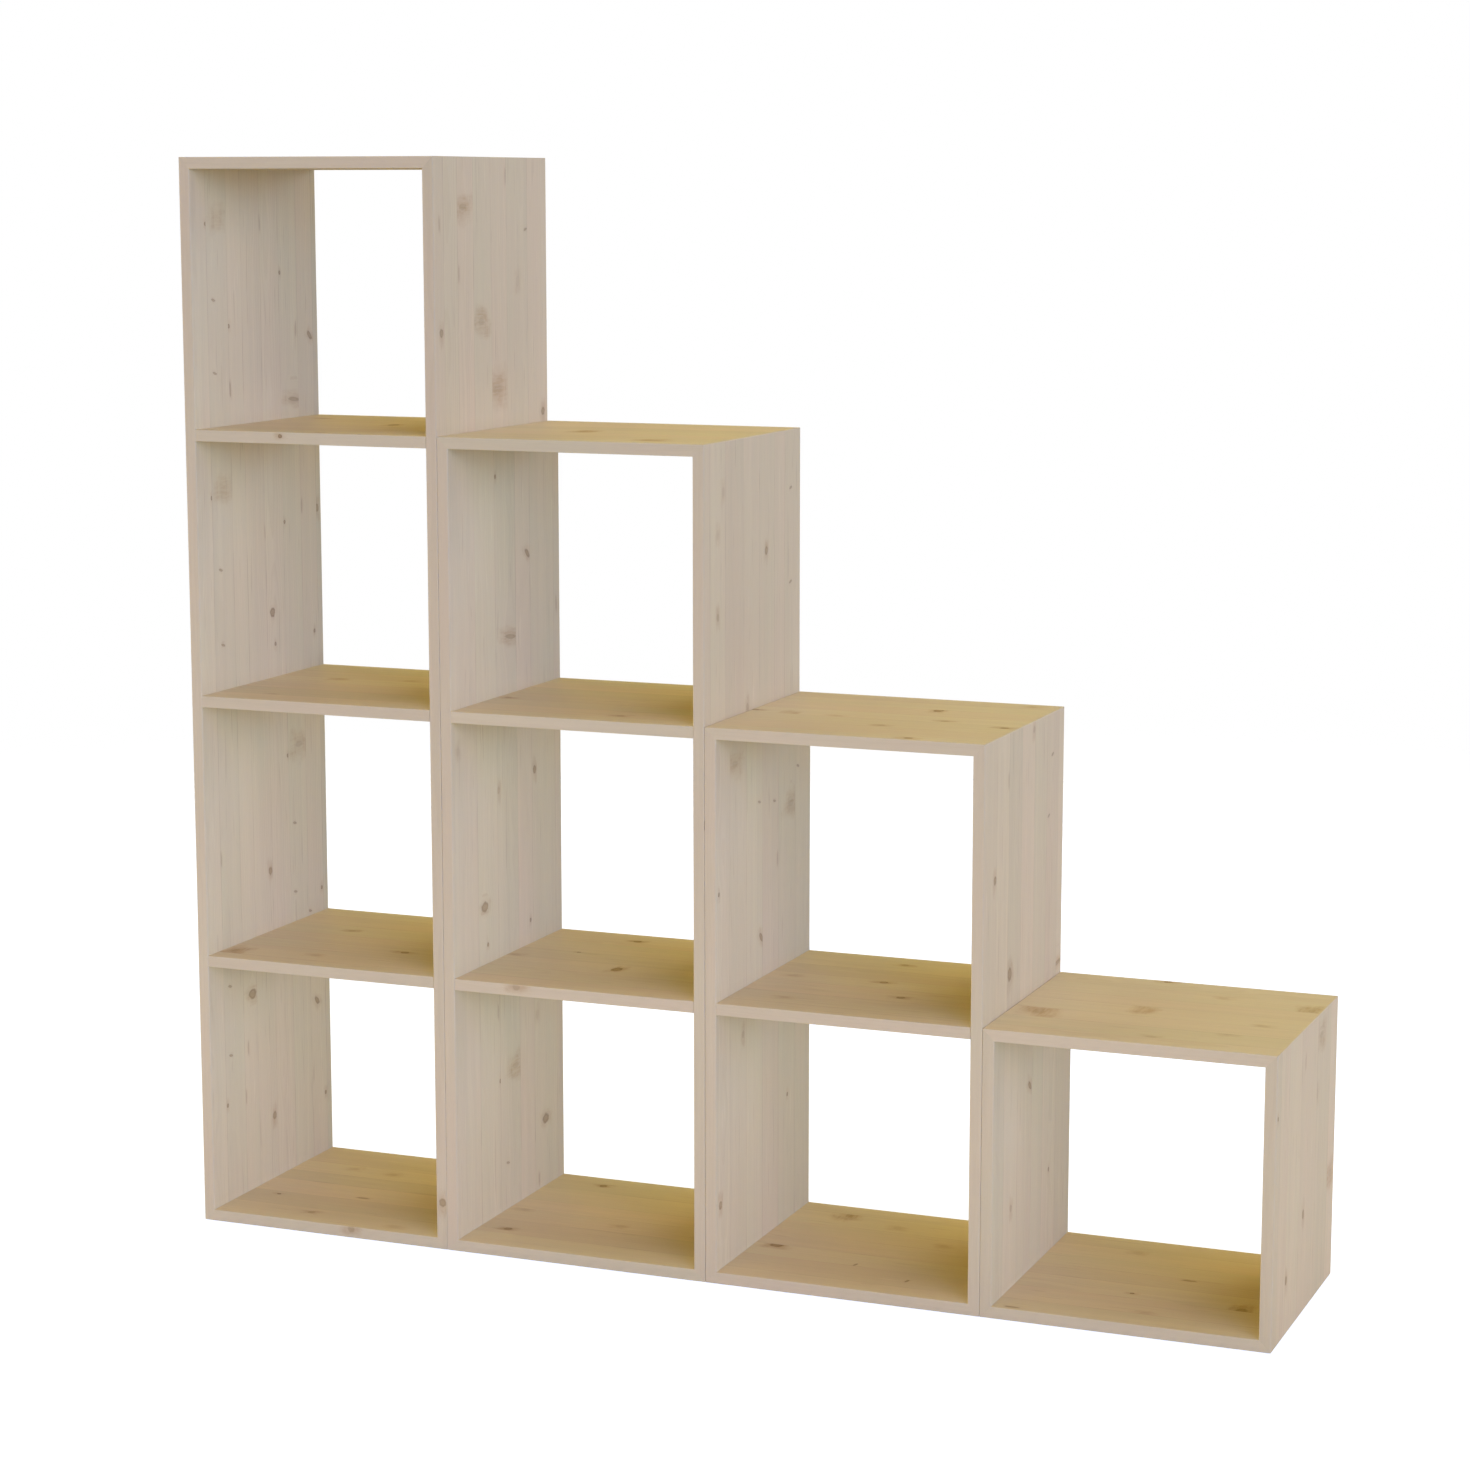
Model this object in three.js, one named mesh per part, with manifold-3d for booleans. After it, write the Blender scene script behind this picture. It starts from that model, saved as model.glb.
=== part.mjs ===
// Staircase bookshelf in edge-glued spruce: towers of open square cells stand side by side,
// each one cell lower than the tower on its left.
// A tower is four boards mitred at the corners, with plain shelves between its two sides.
// Every joint hides a loose tongue, and blind pegs hold each tower in line with the next.
// Millimetres, +Z up, front towards -Y, origin on the floor under the middle of the whole row.
import * as THREE from "three";
import { mergeVertices } from "three/addons/utils/BufferGeometryUtils.js";
import Module from "manifold-3d";

const wasm = await Module();
wasm.setup();

// Driving dimensions
const cellsPerTower = [4, 3, 2, 1];
const towerWidth = 362;
const towerDepth = 330;
const cellHeight = 332;
const boardThickness = 15;
const towerGap = 0.3;

// Finish of the boards
const arrisRadius = 1;
const jointGap = 0.3;

// Loose tongues, in stopped grooves
const tongueThickness = 4;
const tongueSetback = 24;
const tongueClearance = 0.3;
const mitreGrooveDepth = 7;
const mitreTongueInset = 6.5;
const sideGrooveDepth = 7;
const shelfGrooveDepth = 12;

// Blind pegs between towers
const pegDiameter = 8;
const pegHoleDepth = 9;
const pegSetback = 70;
const pegClearance = 0.3;
const pegChamfer = 1;

// Facets: an arris has two for each of its steps, and so has a tongue's nose
const arrisSteps = 2;
const noseSteps = 4;
const pegSides = 16;

// Overrun of a cutting tool past the face that it cuts
const overrun = 5;

// Colours, and the roughness of bare wood
const spruce = 0xcdb896;
const birch = 0xd9c39a;
const beech = 0xc99b6d;
const woodRoughness = 0.6;

const quarterTurn = Math.PI / 2;
const eighthTurn = Math.PI / 4;
const cellPitch = cellHeight + boardThickness;
const towerPitch = towerWidth + towerGap;
const rowWidth = cellsPerTower.length * towerPitch - towerGap;
const heightOf = (cells) => cells * cellPitch + boardThickness;

// The tool geometry as a closed manifold solid.
function solidFrom(geometry) {
  const bare = geometry.clone();
  bare.deleteAttribute("normal");
  bare.deleteAttribute("uv");
  const merged = mergeVertices(bare);
  return new wasm.Manifold(
    new wasm.Mesh({
      numProp: 3,
      vertProperties: merged.attributes.position.array,
      triVerts: new Uint32Array(merged.index.array),
    }),
  );
}

// A manifold solid as a flat-shaded three.js geometry.
function geometryFrom(solid) {
  const mesh = solid.getMesh();
  const indexed = new THREE.BufferGeometry();
  indexed.setAttribute("position", new THREE.BufferAttribute(mesh.vertProperties, mesh.numProp));
  indexed.setIndex(new THREE.BufferAttribute(mesh.triVerts, 1));
  const geometry = indexed.toNonIndexed();
  geometry.computeVertexNormals();
  return geometry;
}

function woodenMesh(name, geometry, color) {
  const material = new THREE.MeshStandardMaterial({ color, roughness: woodRoughness, metalness: 0 });
  const mesh = new THREE.Mesh(geometry, material);
  mesh.name = name;
  return mesh;
}

function place(object, x, y, z, turn = 0) {
  object.position.set(x, y, z);
  object.rotation.set(0, turn, 0);
  return object;
}

// Cuts a placed tool out of a placed board, each wherever its own groups put it.
function carve(board, tool) {
  board.updateWorldMatrix(true, false);
  tool.updateWorldMatrix(true, false);
  const toBoard = board.matrixWorld.clone().invert().multiply(tool.matrixWorld);
  const cutter = tool.geometry.clone().applyMatrix4(toBoard);
  board.geometry = geometryFrom(solidFrom(board.geometry).subtract(solidFrom(cutter)));
}

// Board stock along X: across the grain along Y, inner face at z = 0, four eased long arrises.
function boardStock(length) {
  const halfWidth = towerDepth / 2 - arrisRadius;
  const low = arrisRadius;
  const high = boardThickness - arrisRadius;
  const section = new THREE.Shape();
  section.absarc(halfWidth, low, arrisRadius, -quarterTurn, 0);
  section.absarc(halfWidth, high, arrisRadius, 0, quarterTurn);
  section.absarc(-halfWidth, high, arrisRadius, quarterTurn, 2 * quarterTurn);
  section.absarc(-halfWidth, low, arrisRadius, -2 * quarterTurn, -quarterTurn);
  const stock = new THREE.ExtrudeGeometry(section, {
    depth: length,
    bevelEnabled: false,
    curveSegments: arrisSteps,
  });
  const alongX = new THREE.Matrix4().makeBasis(
    new THREE.Vector3(0, 1, 0),
    new THREE.Vector3(0, 0, 1),
    new THREE.Vector3(1, 0, 0),
  );
  stock.applyMatrix4(alongX);
  stock.translate(-length / 2, 0, 0);
  return stock;
}

// The side view of a mitred board, full length on its outer face.
// Each mitre is set back by half the joint gap, and its sharp tip is eased square to the mitre.
function mitredOutline(length) {
  const half = length / 2;
  const setBack = jointGap / Math.SQRT2;
  const shoulder = half - boardThickness - setBack;
  const tipReach = half - (arrisRadius + setBack) / 2;
  const tipHeight = boardThickness - (arrisRadius - setBack) / 2;
  const outline = new THREE.Shape();
  outline.moveTo(-shoulder, 0);
  outline.lineTo(shoulder, 0);
  outline.lineTo(tipReach, tipHeight);
  outline.lineTo(half - arrisRadius, boardThickness);
  outline.lineTo(arrisRadius - half, boardThickness);
  outline.lineTo(-tipReach, tipHeight);
  outline.closePath();
  return outline;
}

function mitredBoard(name, length) {
  const prism = new THREE.ExtrudeGeometry(mitredOutline(length), {
    depth: towerDepth + 2 * overrun,
    bevelEnabled: false,
  });
  prism.rotateX(quarterTurn);
  prism.translate(0, towerDepth / 2 + overrun, 0);
  const solid = solidFrom(boardStock(length)).intersect(solidFrom(prism));
  return woodenMesh(name, geometryFrom(solid), spruce);
}

function plainBoard(name, length) {
  return woodenMesh(name, boardStock(length), spruce);
}

// A tongue lies flat: width along X, length along Y, with round noses.
function tongueGeometry(width, length, thickness) {
  const nose = width / 2;
  const straight = length / 2 - nose;
  const outline = new THREE.Shape();
  outline.absarc(0, straight, nose, 0, 2 * quarterTurn);
  outline.absarc(0, -straight, nose, 2 * quarterTurn, 4 * quarterTurn);
  const geometry = new THREE.ExtrudeGeometry(outline, {
    depth: thickness,
    bevelEnabled: false,
    curveSegments: noseSteps,
  });
  geometry.translate(0, 0, -thickness / 2);
  return geometry;
}

// A tongue that joins two boards, and the groove for it in each of them.
function joinWithTongue(tower, name, boards, grooveWidth, x, z, turn) {
  const grooveLength = towerDepth - 2 * tongueSetback;
  const grooveHeight = tongueThickness + 2 * tongueClearance;
  const groove = new THREE.Mesh(tongueGeometry(grooveWidth, grooveLength, grooveHeight));
  tower.add(place(groove, x, 0, z, turn));
  boards.forEach((board) => carve(board, groove));
  tower.remove(groove);
  const tongue = tongueGeometry(
    grooveWidth - 2 * tongueClearance,
    grooveLength - 2 * tongueClearance,
    tongueThickness,
  );
  tower.add(place(woodenMesh(name, tongue, birch), x, 0, z, turn));
}

// The tongue of one mitre: its middle is on the mitre, nearer the inner corner than the tip.
function joinMitre(tower, name, boards, innerX, innerZ, outwardX, outwardZ) {
  const step = mitreTongueInset / Math.SQRT2;
  const grooveWidth = 2 * mitreGrooveDepth + jointGap;
  const turn = outwardX === outwardZ ? eighthTurn : -eighthTurn;
  joinWithTongue(
    tower,
    name,
    boards,
    grooveWidth,
    innerX + outwardX * step,
    innerZ + outwardZ * step,
    turn,
  );
}

// The tongue at one end of a shelf, deeper in the shelf than in the side.
function joinShelfEnd(tower, name, boards, sideFaceX, inwardX, z) {
  const grooveWidth = sideGrooveDepth + jointGap + shelfGrooveDepth;
  const middle = (jointGap + shelfGrooveDepth - sideGrooveDepth) / 2;
  joinWithTongue(tower, name, boards, grooveWidth, sideFaceX + inwardX * middle, z, 0);
}

// One tower from the floor up, with x = 0 at the outer face of its left side.
function buildTower(number, cells) {
  const tower = new THREE.Group();
  const height = heightOf(cells);
  const leftFace = boardThickness;
  const rightFace = towerWidth - boardThickness;
  const middle = towerWidth / 2;
  const label = (piece) => `tower_${number}_${piece}`;

  const left = mitredBoard(label("left_side"), height);
  const right = mitredBoard(label("right_side"), height);
  const top = mitredBoard(label("top"), towerWidth);
  const bottom = mitredBoard(label("bottom"), towerWidth);
  tower.add(place(left, leftFace, 0, height / 2, -quarterTurn));
  tower.add(place(right, rightFace, 0, height / 2, quarterTurn));
  tower.add(place(top, middle, 0, height - boardThickness));
  tower.add(place(bottom, middle, 0, boardThickness, 2 * quarterTurn));

  const ceiling = height - boardThickness;
  const floor = boardThickness;
  joinMitre(tower, label("top_left_tongue"), [left, top], leftFace, ceiling, -1, 1);
  joinMitre(tower, label("top_right_tongue"), [right, top], rightFace, ceiling, 1, 1);
  joinMitre(tower, label("bottom_left_tongue"), [left, bottom], leftFace, floor, -1, -1);
  joinMitre(tower, label("bottom_right_tongue"), [right, bottom], rightFace, floor, 1, -1);

  const shelfLength = rightFace - leftFace - 2 * jointGap;
  for (let level = 1; level < cells; level += 1) {
    const underside = level * cellPitch;
    const core = underside + boardThickness / 2;
    const shelf = plainBoard(label(`shelf_${level}`), shelfLength);
    tower.add(place(shelf, middle, 0, underside));
    joinShelfEnd(tower, label(`shelf_${level}_left_tongue`), [left, shelf], leftFace, 1, core);
    joinShelfEnd(tower, label(`shelf_${level}_right_tongue`), [right, shelf], rightFace, -1, core);
  }
  return { tower, left, right };
}

// A round peg along X with chamfered ends.
function pegGeometry(radius, length, chamfer) {
  const end = length / 2;
  const profile = [
    new THREE.Vector2(0, -end),
    new THREE.Vector2(radius - chamfer, -end),
    new THREE.Vector2(radius, chamfer - end),
    new THREE.Vector2(radius, end - chamfer),
    new THREE.Vector2(radius - chamfer, end),
    new THREE.Vector2(0, end),
  ];
  const geometry = new THREE.LatheGeometry(profile, pegSides);
  geometry.rotateZ(-quarterTurn);
  return geometry;
}

// Two blind pegs between neighbouring towers, level with the middle of the lower one's top cell.
function pegTowers(row, number, rightSide, leftSide, gapMiddle, lowerCells) {
  const z = heightOf(lowerCells) - boardThickness - cellHeight / 2;
  const holeLength = 2 * pegHoleDepth + towerGap;
  const radius = pegDiameter / 2;
  const reach = towerDepth / 2 - pegSetback;
  [["front", -reach], ["back", reach]].forEach(([where, y]) => {
    const hole = new THREE.CylinderGeometry(
      radius + pegClearance,
      radius + pegClearance,
      holeLength,
      pegSides,
    );
    hole.rotateZ(quarterTurn);
    const tool = new THREE.Mesh(hole);
    row.add(place(tool, gapMiddle, y, z));
    [rightSide, leftSide].forEach((board) => carve(board, tool));
    row.remove(tool);
    const peg = pegGeometry(radius, holeLength - 2 * pegClearance, pegChamfer);
    row.add(place(woodenMesh(`peg_${number}_${number + 1}_${where}`, peg, beech), gapMiddle, y, z));
  });
}

function buildRow() {
  const row = new THREE.Group();
  const leftEnd = -rowWidth / 2;
  const built = cellsPerTower.map((cells, index) => {
    const made = buildTower(index + 1, cells);
    row.add(place(made.tower, leftEnd + index * towerPitch, 0, 0));
    return made;
  });
  built.slice(1).forEach((next, index) => {
    const gapMiddle = leftEnd + (index + 1) * towerPitch - towerGap / 2;
    const lowerCells = Math.min(cellsPerTower[index], cellsPerTower[index + 1]);
    pegTowers(row, index + 1, built[index].right, next.left, gapMiddle, lowerCells);
  });
  return row;
}

export default buildRow();
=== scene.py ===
# Staircase bookshelf in knotty spruce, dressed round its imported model.
# Every board is rebuilt with eased arrises, staves, annual rings and knots; the loose tongues
# and the pegs inside the joints are rebuilt too. Lengths are in metres, or in millimetres where
# a name or a comment says so.
import math
import random
from collections import namedtuple

import bmesh
import bpy
from bpy.props import FloatProperty, FloatVectorProperty, PointerProperty
from mathutils import Matrix, Vector


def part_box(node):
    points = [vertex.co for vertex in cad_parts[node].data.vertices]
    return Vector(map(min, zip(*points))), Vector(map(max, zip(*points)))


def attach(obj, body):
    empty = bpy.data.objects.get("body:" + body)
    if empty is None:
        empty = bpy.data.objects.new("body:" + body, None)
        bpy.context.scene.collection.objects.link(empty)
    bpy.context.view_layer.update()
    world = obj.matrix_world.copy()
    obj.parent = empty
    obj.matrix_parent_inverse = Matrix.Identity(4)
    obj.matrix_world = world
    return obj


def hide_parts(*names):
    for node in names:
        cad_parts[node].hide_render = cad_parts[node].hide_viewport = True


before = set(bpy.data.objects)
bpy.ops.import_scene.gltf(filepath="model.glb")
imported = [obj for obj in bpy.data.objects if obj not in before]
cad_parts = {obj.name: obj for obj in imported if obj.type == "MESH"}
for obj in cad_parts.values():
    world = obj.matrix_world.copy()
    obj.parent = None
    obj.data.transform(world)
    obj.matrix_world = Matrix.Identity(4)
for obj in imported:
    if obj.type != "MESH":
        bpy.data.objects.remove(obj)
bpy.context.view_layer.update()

bl_info = {
    "name": "Staircase bookshelf",
    "version": (1, 0, 0),
    "blender": (4, 5, 0),
    "location": "View3D > Sidebar > Bookshelf",
    "description": "Builds the boards, tongues and pegs of a stepped row of open shelving, with its studio",
    "category": "Object",
}

MM = 0.001
BODY = "root"

LEFT = Vector((-1, 0, 0))
RIGHT = Vector((1, 0, 0))
FRONT = Vector((0, -1, 0))
BACK = Vector((0, 1, 0))
DOWN = Vector((0, 0, -1))
UP = Vector((0, 0, 1))

# Finest steps of the meshes
SLICE_LENGTH = 18 * MM
ARRIS_STEPS = 5
NOSE_STEPS = 12
PEG_STEPS = 96
HOLE_STEPS = 48
FLOOR_STEPS = 96
SHARP_ANGLE = math.radians(32)
TIP_ANGLES_DEG = (82.5, 67.5, 52.5)

# Points of a cut that are nearer to each other than this are one point
SAME_POINT = 1e-7

# Waves of the eased edges in radians per metre, and how far the slow ones outweigh the quick ones
SLOW_WAVES = (4, 9)
QUICK_WAVES = (15, 28)
SLOW_WAVE_SHARE = 0.65

# Clearance of a groove or a peg hole round what lies in it
SEAT_CLEARANCE = 0.3 * MM

# Tongues and pegs. Every loose tongue is cut from the stock of this one.
STOCK_TONGUE = "tower_1_shelf_1_left_tongue"
TONGUE_EASE = 0.3 * MM
PEG_CHAMFER = 1 * MM
FLUTES = 16
FLUTE_DEPTH = 0.3 * MM

# Camera
CAMERA_PLACE = (1.59746, -4.03474, 1.36442)
CAMERA_TURNS_DEG = (80.9725, 0.0154, 21.9118)
CAMERA_LENS_MM = 84.4007
CAMERA_SENSOR_MM = 36.0
CAMERA_REACH = 50.0

# The floor lies this far under the boards, and it starts to fade at this share of its radius
FLOOR_DROP = 0.2 * MM
FLOOR_FADE_SHARE = 0.45

# Broad lamps round the stage. Azimuth 0 shines from the front and 90 from the right; both angles
# are in degrees. The strength is one number each for red, green and blue.
LAMP_DISTANCE = 3.0
Lamp = namedtuple("Lamp", "name azimuth elevation strength")
LAMPS = (
    Lamp("key", 30, 8, (0.3, 0.7, 1.65)),
    Lamp("key_from_right", 60, 8, (0.6, 0.55, 0.35)),
    Lamp("key_from_above", 48, 30, (0.25, 0.2, 0.55)),
    Lamp("low_right_back", 150, 8, (0.65, 0.75, 1.05)),
    Lamp("right_back", 156, 30, (0.35, 0.2, 0.0)),
    Lamp("high_right_back", 140, 56, (0.4, 0.3, 0.1)),
    Lamp("low_back", 180, 8, (0.45, 0.4, 0.1)),
    Lamp("low_left_back", 210, 8, (0.5, 0.35, 0.05)),
    Lamp("low_left", 270, 8, (1.05, 1.1, 1.4)),
    Lamp("low_front", 330, 8, (0.9, 0.55, 0.0)),
    Lamp("high_left", 260, 56, (0.5, 0.5, 0.3)),
    Lamp("overhead", 20, 85, (0.7, 0.6, 0.45)),
)

# Kinds of knot: radius of the heart in mm, its stretch along the grain and its depth of colour,
# the same three for the stained wood round it, and tilt against the grain in degrees
KnotKind = namedtuple("KnotKind", "radius stretch heart halo_radius halo_stretch halo tilt")
KNOT_KINDS = {
    "pin": KnotKind(2.4, 1.1, 0.6, 5.5, 2.0, 0.5, 0),
    "dash": KnotKind(4.6, 0.34, 0.48, 8.0, 0.6, 0.4, -14),
    "knot": KnotKind(4.6, 1.1, 0.5, 9.5, 2.1, 0.75, 0),
    "dot": KnotKind(6.0, 0.95, 0.6, 10.0, 1.1, 0.4, 0),
    "soft": KnotKind(4.2, 1.1, 0.26, 9.0, 2.0, 0.65, 0),
    "oval": KnotKind(9.0, 0.68, 0.56, 21.0, 0.7, 0.9, 0),
    "big": KnotKind(7.0, 1.15, 0.55, 18.0, 1.4, 0.9, 0),
    "faint": KnotKind(5.0, 1.3, 0.1, 12.0, 1.5, 0.38, 0),
    "streak": KnotKind(1.5, 6.5, 0.26, 5.0, 3.0, 0.42, 0),
    "split": KnotKind(2.0, 4.5, 0.42, 6.0, 2.4, 0.5, 0),
    "slash": KnotKind(3.4, 2.2, 0.55, 11.0, 1.5, 0.7, 48),
    "spike": KnotKind(13.0, 0.2, 0.42, 26.0, 0.45, 0.9, -6),
    "blade": KnotKind(14.0, 0.2, 0.42, 40.0, 0.36, 0.85, -6),
    "bruise": KnotKind(9.0, 0.75, 0.4, 32.0, 0.62, 1.0, 0),
    "patch": KnotKind(9.0, 0.45, 0.2, 30.0, 0.75, 1.0, 0),
    "stain": KnotKind(13.0, 0.5, 0.18, 40.0, 0.75, 1.0, 0),
    "smudge": KnotKind(3.0, 2.0, 0.0, 27.0, 0.8, 0.8, 0),
}
RANDOM_KINDS = (
    "pin", "pin", "dash", "dash", "knot", "soft", "oval", "big", "patch", "smudge", "streak",
    "slash", "spike", "faint",
)

# How the faces of each kind of board differ in colour, as a factor on red, green and blue: painted light,
# standing in for how differently the light falls on each kind of board
BOARD_LIGHT_TINTS = {
    "left_side": (1.01, 1.04, 1.04),
    "right_side": (1.02, 1.0, 0.97),
    "top": (0.97, 0.99, 1.0),
    "shelf": (1.02, 1.03, 1.0),
    "bottom": (1.04, 1.03, 0.96),
}

# Borders of the staves, as shares of the depth from the front
STAVE_SHARES = {
    "tower_1_left_side": (0.115, 0.27, 0.38, 0.53, 0.68, 0.83, 0.96),
    "tower_2_left_side": (0.22, 0.4, 0.585, 0.72, 0.94),
    "tower_3_left_side": (0.14, 0.31, 0.48, 0.65, 0.83),
    "tower_4_left_side": (0.13, 0.3, 0.48, 0.62, 0.8),
    "tower_1_right_side": (0.085, 0.2, 0.336, 0.49, 0.63, 0.82),
    "tower_2_right_side": (0.06, 0.21, 0.4, 0.56, 0.72, 0.83),
    "tower_3_right_side": (0.15, 0.3, 0.46, 0.62, 0.78, 0.93),
    "tower_4_right_side": (0.07, 0.2, 0.4, 0.66, 0.88),
}

# How pale or dark each stave of the left sides is, from the front
TONES = {"pale": 0.6, "plain": 0.0, "dark": -0.6}
STAVE_TONES = {
    "tower_1_left_side": ("pale", "dark", "plain", "plain", "pale", "pale", "pale", "dark"),
    "tower_2_left_side": ("plain", "plain", "dark", "pale", "pale", "plain"),
    "tower_3_left_side": ("plain", "dark", "plain", "plain", "plain", "plain"),
    "tower_4_left_side": ("dark", "plain", "dark", "plain", "pale", "plain"),
}

# Knots on the inner face of the left sides, cell by cell from the top: share of the depth from
# the front, share of the cell's height from its ceiling, and kind
CELL_KNOTS = {
    "tower_1_left_side": (
        ((0.113, 0.21, "pin"), (0.2, 0.19, "smudge"), (0.16, 0.505, "dash"), (0.275, 0.61, "pin"),
         (0.16, 0.79, "dash"), (0.275, 0.86, "split"), (0.535, 0.21, "streak"), (0.69, 0.41, "pin"),
         (0.93, 0.67, "slash"), (0.79, 0.925, "blade"), (0.815, 0.64, "streak")),
        ((0.113, 0.23, "pin"), (0.2, 0.2, "smudge"), (0.17, 0.52, "dash"), (0.175, 0.82, "dash"),
         (0.53, 0.4, "streak"), (0.835, 0.32, "streak"),
         (0.575, 0.735, "dot"), (0.595, 0.865, "pin"), (0.69, 0.375, "pin"), (0.925, 0.85, "pin"),
         (0.965, 0.34, "knot")),
        ((0.677, 0.295, "pin"), (0.775, 0.26, "patch"), (0.725, 0.585, "dash"), (0.72, 0.875, "dash"),
         (0.513, 0.75, "knot"), (0.945, 0.9, "pin"), (0.84, 0.98, "dash"), (0.118, 0.63, "streak")),
        ((0.165, 0.115, "dash"), (0.16, 0.4, "dash"), (0.345, 0.185, "oval"), (0.885, 0.33, "slash"),
         (0.3, 0.4, "streak"), (0.125, 0.6, "pin"), (0.274, 0.6, "streak"), (0.505, 0.735, "knot"),
         (0.945, 0.745, "pin")),
    ),
    "tower_2_left_side": (
        ((0.41, 0.135, "pin"), (0.695, 0.46, "slash"), (0.535, 0.775, "blade"), (0.965, 0.69, "streak")),
        ((0.275, 0.77, "oval"), (0.41, 0.326, "soft"), (0.745, 0.295, "knot"), (0.695, 0.904, "pin"),
         (0.3, 0.925, "pin"), (0.055, 0.12, "faint")),
        ((0.397, 0.457, "pin"), (0.54, 0.425, "patch"), (0.822, 0.718, "oval"), (0.46, 0.81, "dash"),
         (0.385, 0.17, "streak"), (0.755, 0.96, "streak"), (0.75, 0.26, "faint")),
    ),
    "tower_3_left_side": (
        ((0.19, 0.12, "patch"), (0.444, 0.306, "dash"), (0.605, 0.328, "dash"), (0.785, 0.365, "patch"),
         (0.86, 0.229, "dash"), (0.03, 0.59, "pin"), (0.465, 0.84, "slash"), (0.64, 0.56, "streak")),
        ((0.043, 0.75, "knot"), (0.275, 0.137, "soft"), (0.75, 0.489, "pin")),
    ),
    "tower_4_left_side": (
        ((0.455, 0.274, "slash"), (0.715, 0.669, "pin"), (0.23, 0.69, "soft")),
    ),
}

# Knots on the outer face of the right sides, over the top step of each: share of the depth from
# the front, share of the step's height from the top, and kind
STEP_KNOTS = {
    "tower_1_right_side": (
        (0.048, 0.24, "streak"), (0.25, 0.18, "patch"), (0.805, 0.267, "dash"), (0.055, 0.63, "knot"),
        (0.4, 0.6, "patch"), (0.54, 0.855, "stain"), (0.955, 0.96, "knot"),
        (0.73, 0.46, "faint"), (0.625, 0.07, "streak"), (0.21, 0.42, "streak"),
    ),
    "tower_2_right_side": (
        (0.633, 0.43, "knot"), (0.136, 0.625, "soft"), (0.136, 0.33, "faint"), (0.19, 0.18, "faint"),
        (0.895, 0.217, "dash"), (0.895, 0.57, "dash"), (0.435, 0.985, "soft"),
    ),
    "tower_3_right_side": (
        (0.603, 0.03, "soft"), (0.135, 0.5, "knot"), (0.328, 0.873, "big"), (0.85, 0.156, "dash"),
        (0.81, 0.378, "dash"), (0.95, 0.955, "spike"), (0.29, 0.17, "streak"),
    ),
    "tower_4_right_side": (
        (0.025, 0.224, "pin"), (0.72, 0.083, "patch"), (0.475, 0.678, "knot"), (0.215, 0.845, "knot"),
        (0.93, 0.642, "patch"), (0.46, 0.125, "streak"), (0.67, 0.287, "faint"),
    ),
}

# Knots on the upper faces of the tops, shelves and bottoms: share of the visible width from the
# left, share of the depth from the back, and kind
UPPER_KNOTS = {
    "tower_2_top": ((0.36, 0.52, "patch"), (0.75, 0.9, "stain")),
    "tower_3_top": (
        (0.62, 0.285, "oval"), (0.715, 0.53, "soft"), (0.543, 0.712, "soft"),
        (0.953, 0.605, "knot"), (0.012, 0.52, "knot"), (0.72, 0.96, "knot"), (0.9, 0.06, "faint"),
        (0.33, 0.55, "faint"), (0.15, 0.56, "smudge"),
    ),
    "tower_4_top": (
        (0.1, 0.66, "stain"), (0.43, 0.5, "smudge"), (0.965, 0.28, "patch"), (0.4, 0.02, "knot"),
        (0.55, 0.89, "faint"), (0.64, 0.2, "faint"), (0.86, 0.58, "faint"), (0.78, 0.75, "faint"),
    ),
    "tower_1_shelf_3": ((0.59, 0.47, "oval"), (0.14, 0.22, "soft"), (0.52, 0.95, "faint")),
    "tower_1_shelf_2": ((0.28, 0.36, "smudge"), (0.23, 0.85, "faint"), (0.57, 0.32, "faint")),
    "tower_1_shelf_1": (
        (0.31, 0.37, "soft"), (0.7, 0.655, "knot"), (0.05, 0.87, "patch"), (0.39, 0.83, "faint"),
    ),
    "tower_1_bottom": (
        (0.44, 0.287, "faint"), (0.48, 0.635, "split"), (0.132, 0.707, "pin"),
        (0.38, 0.885, "soft"), (0.78, 0.94, "faint"), (0.25, 0.27, "faint"),
    ),
    "tower_2_shelf_2": ((0.045, 0.59, "soft"), (0.645, 0.86, "soft")),
    "tower_2_shelf_1": (
        (0.39, 0.12, "knot"), (0.514, 0.613, "oval"), (0.235, 0.53, "smudge"), (0.25, 0.386, "pin"),
        (0.035, 0.52, "faint"),
    ),
    "tower_2_bottom": (
        (0.227, 0.109, "knot"), (0.119, 0.793, "knot"), (0.07, 0.53, "faint"), (0.52, 0.6, "faint"),
    ),
    "tower_3_shelf_1": (
        (0.447, 0.124, "soft"), (0.469, 0.435, "knot"), (0.611, 0.652, "knot"), (0.2, 0.81, "faint"),
        (0.1, 0.45, "faint"),
    ),
    "tower_3_bottom": (
        (0.216, 0.113, "patch"), (0.088, 0.592, "big"), (0.458, 0.713, "dash"), (0.706, 0.83, "dash"),
        (0.455, 0.21, "faint"), (0.7, 0.37, "faint"),
    ),
    "tower_4_bottom": (
        (0.6, 0.43, "split"), (0.865, 0.705, "bruise"), (0.44, 0.655, "pin"), (0.543, 0.865, "faint"),
        (0.07, 0.974, "split"), (0.33, 0.17, "faint"),
    ),
}

# Knots on the front edges: share of the board from the left or the floor, share of the
# thickness from the inner face, and kind
EDGE_KNOTS = {
    "tower_1_shelf_3": ((0.374, 0.66, "pin"),),
    "tower_1_bottom": ((0.61, 0.2, "soft"),),
    "tower_2_shelf_1": ((0.263, 0.8, "soft"),),
    "tower_1_right_side": ((0.045, 0.6, "knot"),),
}

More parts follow.
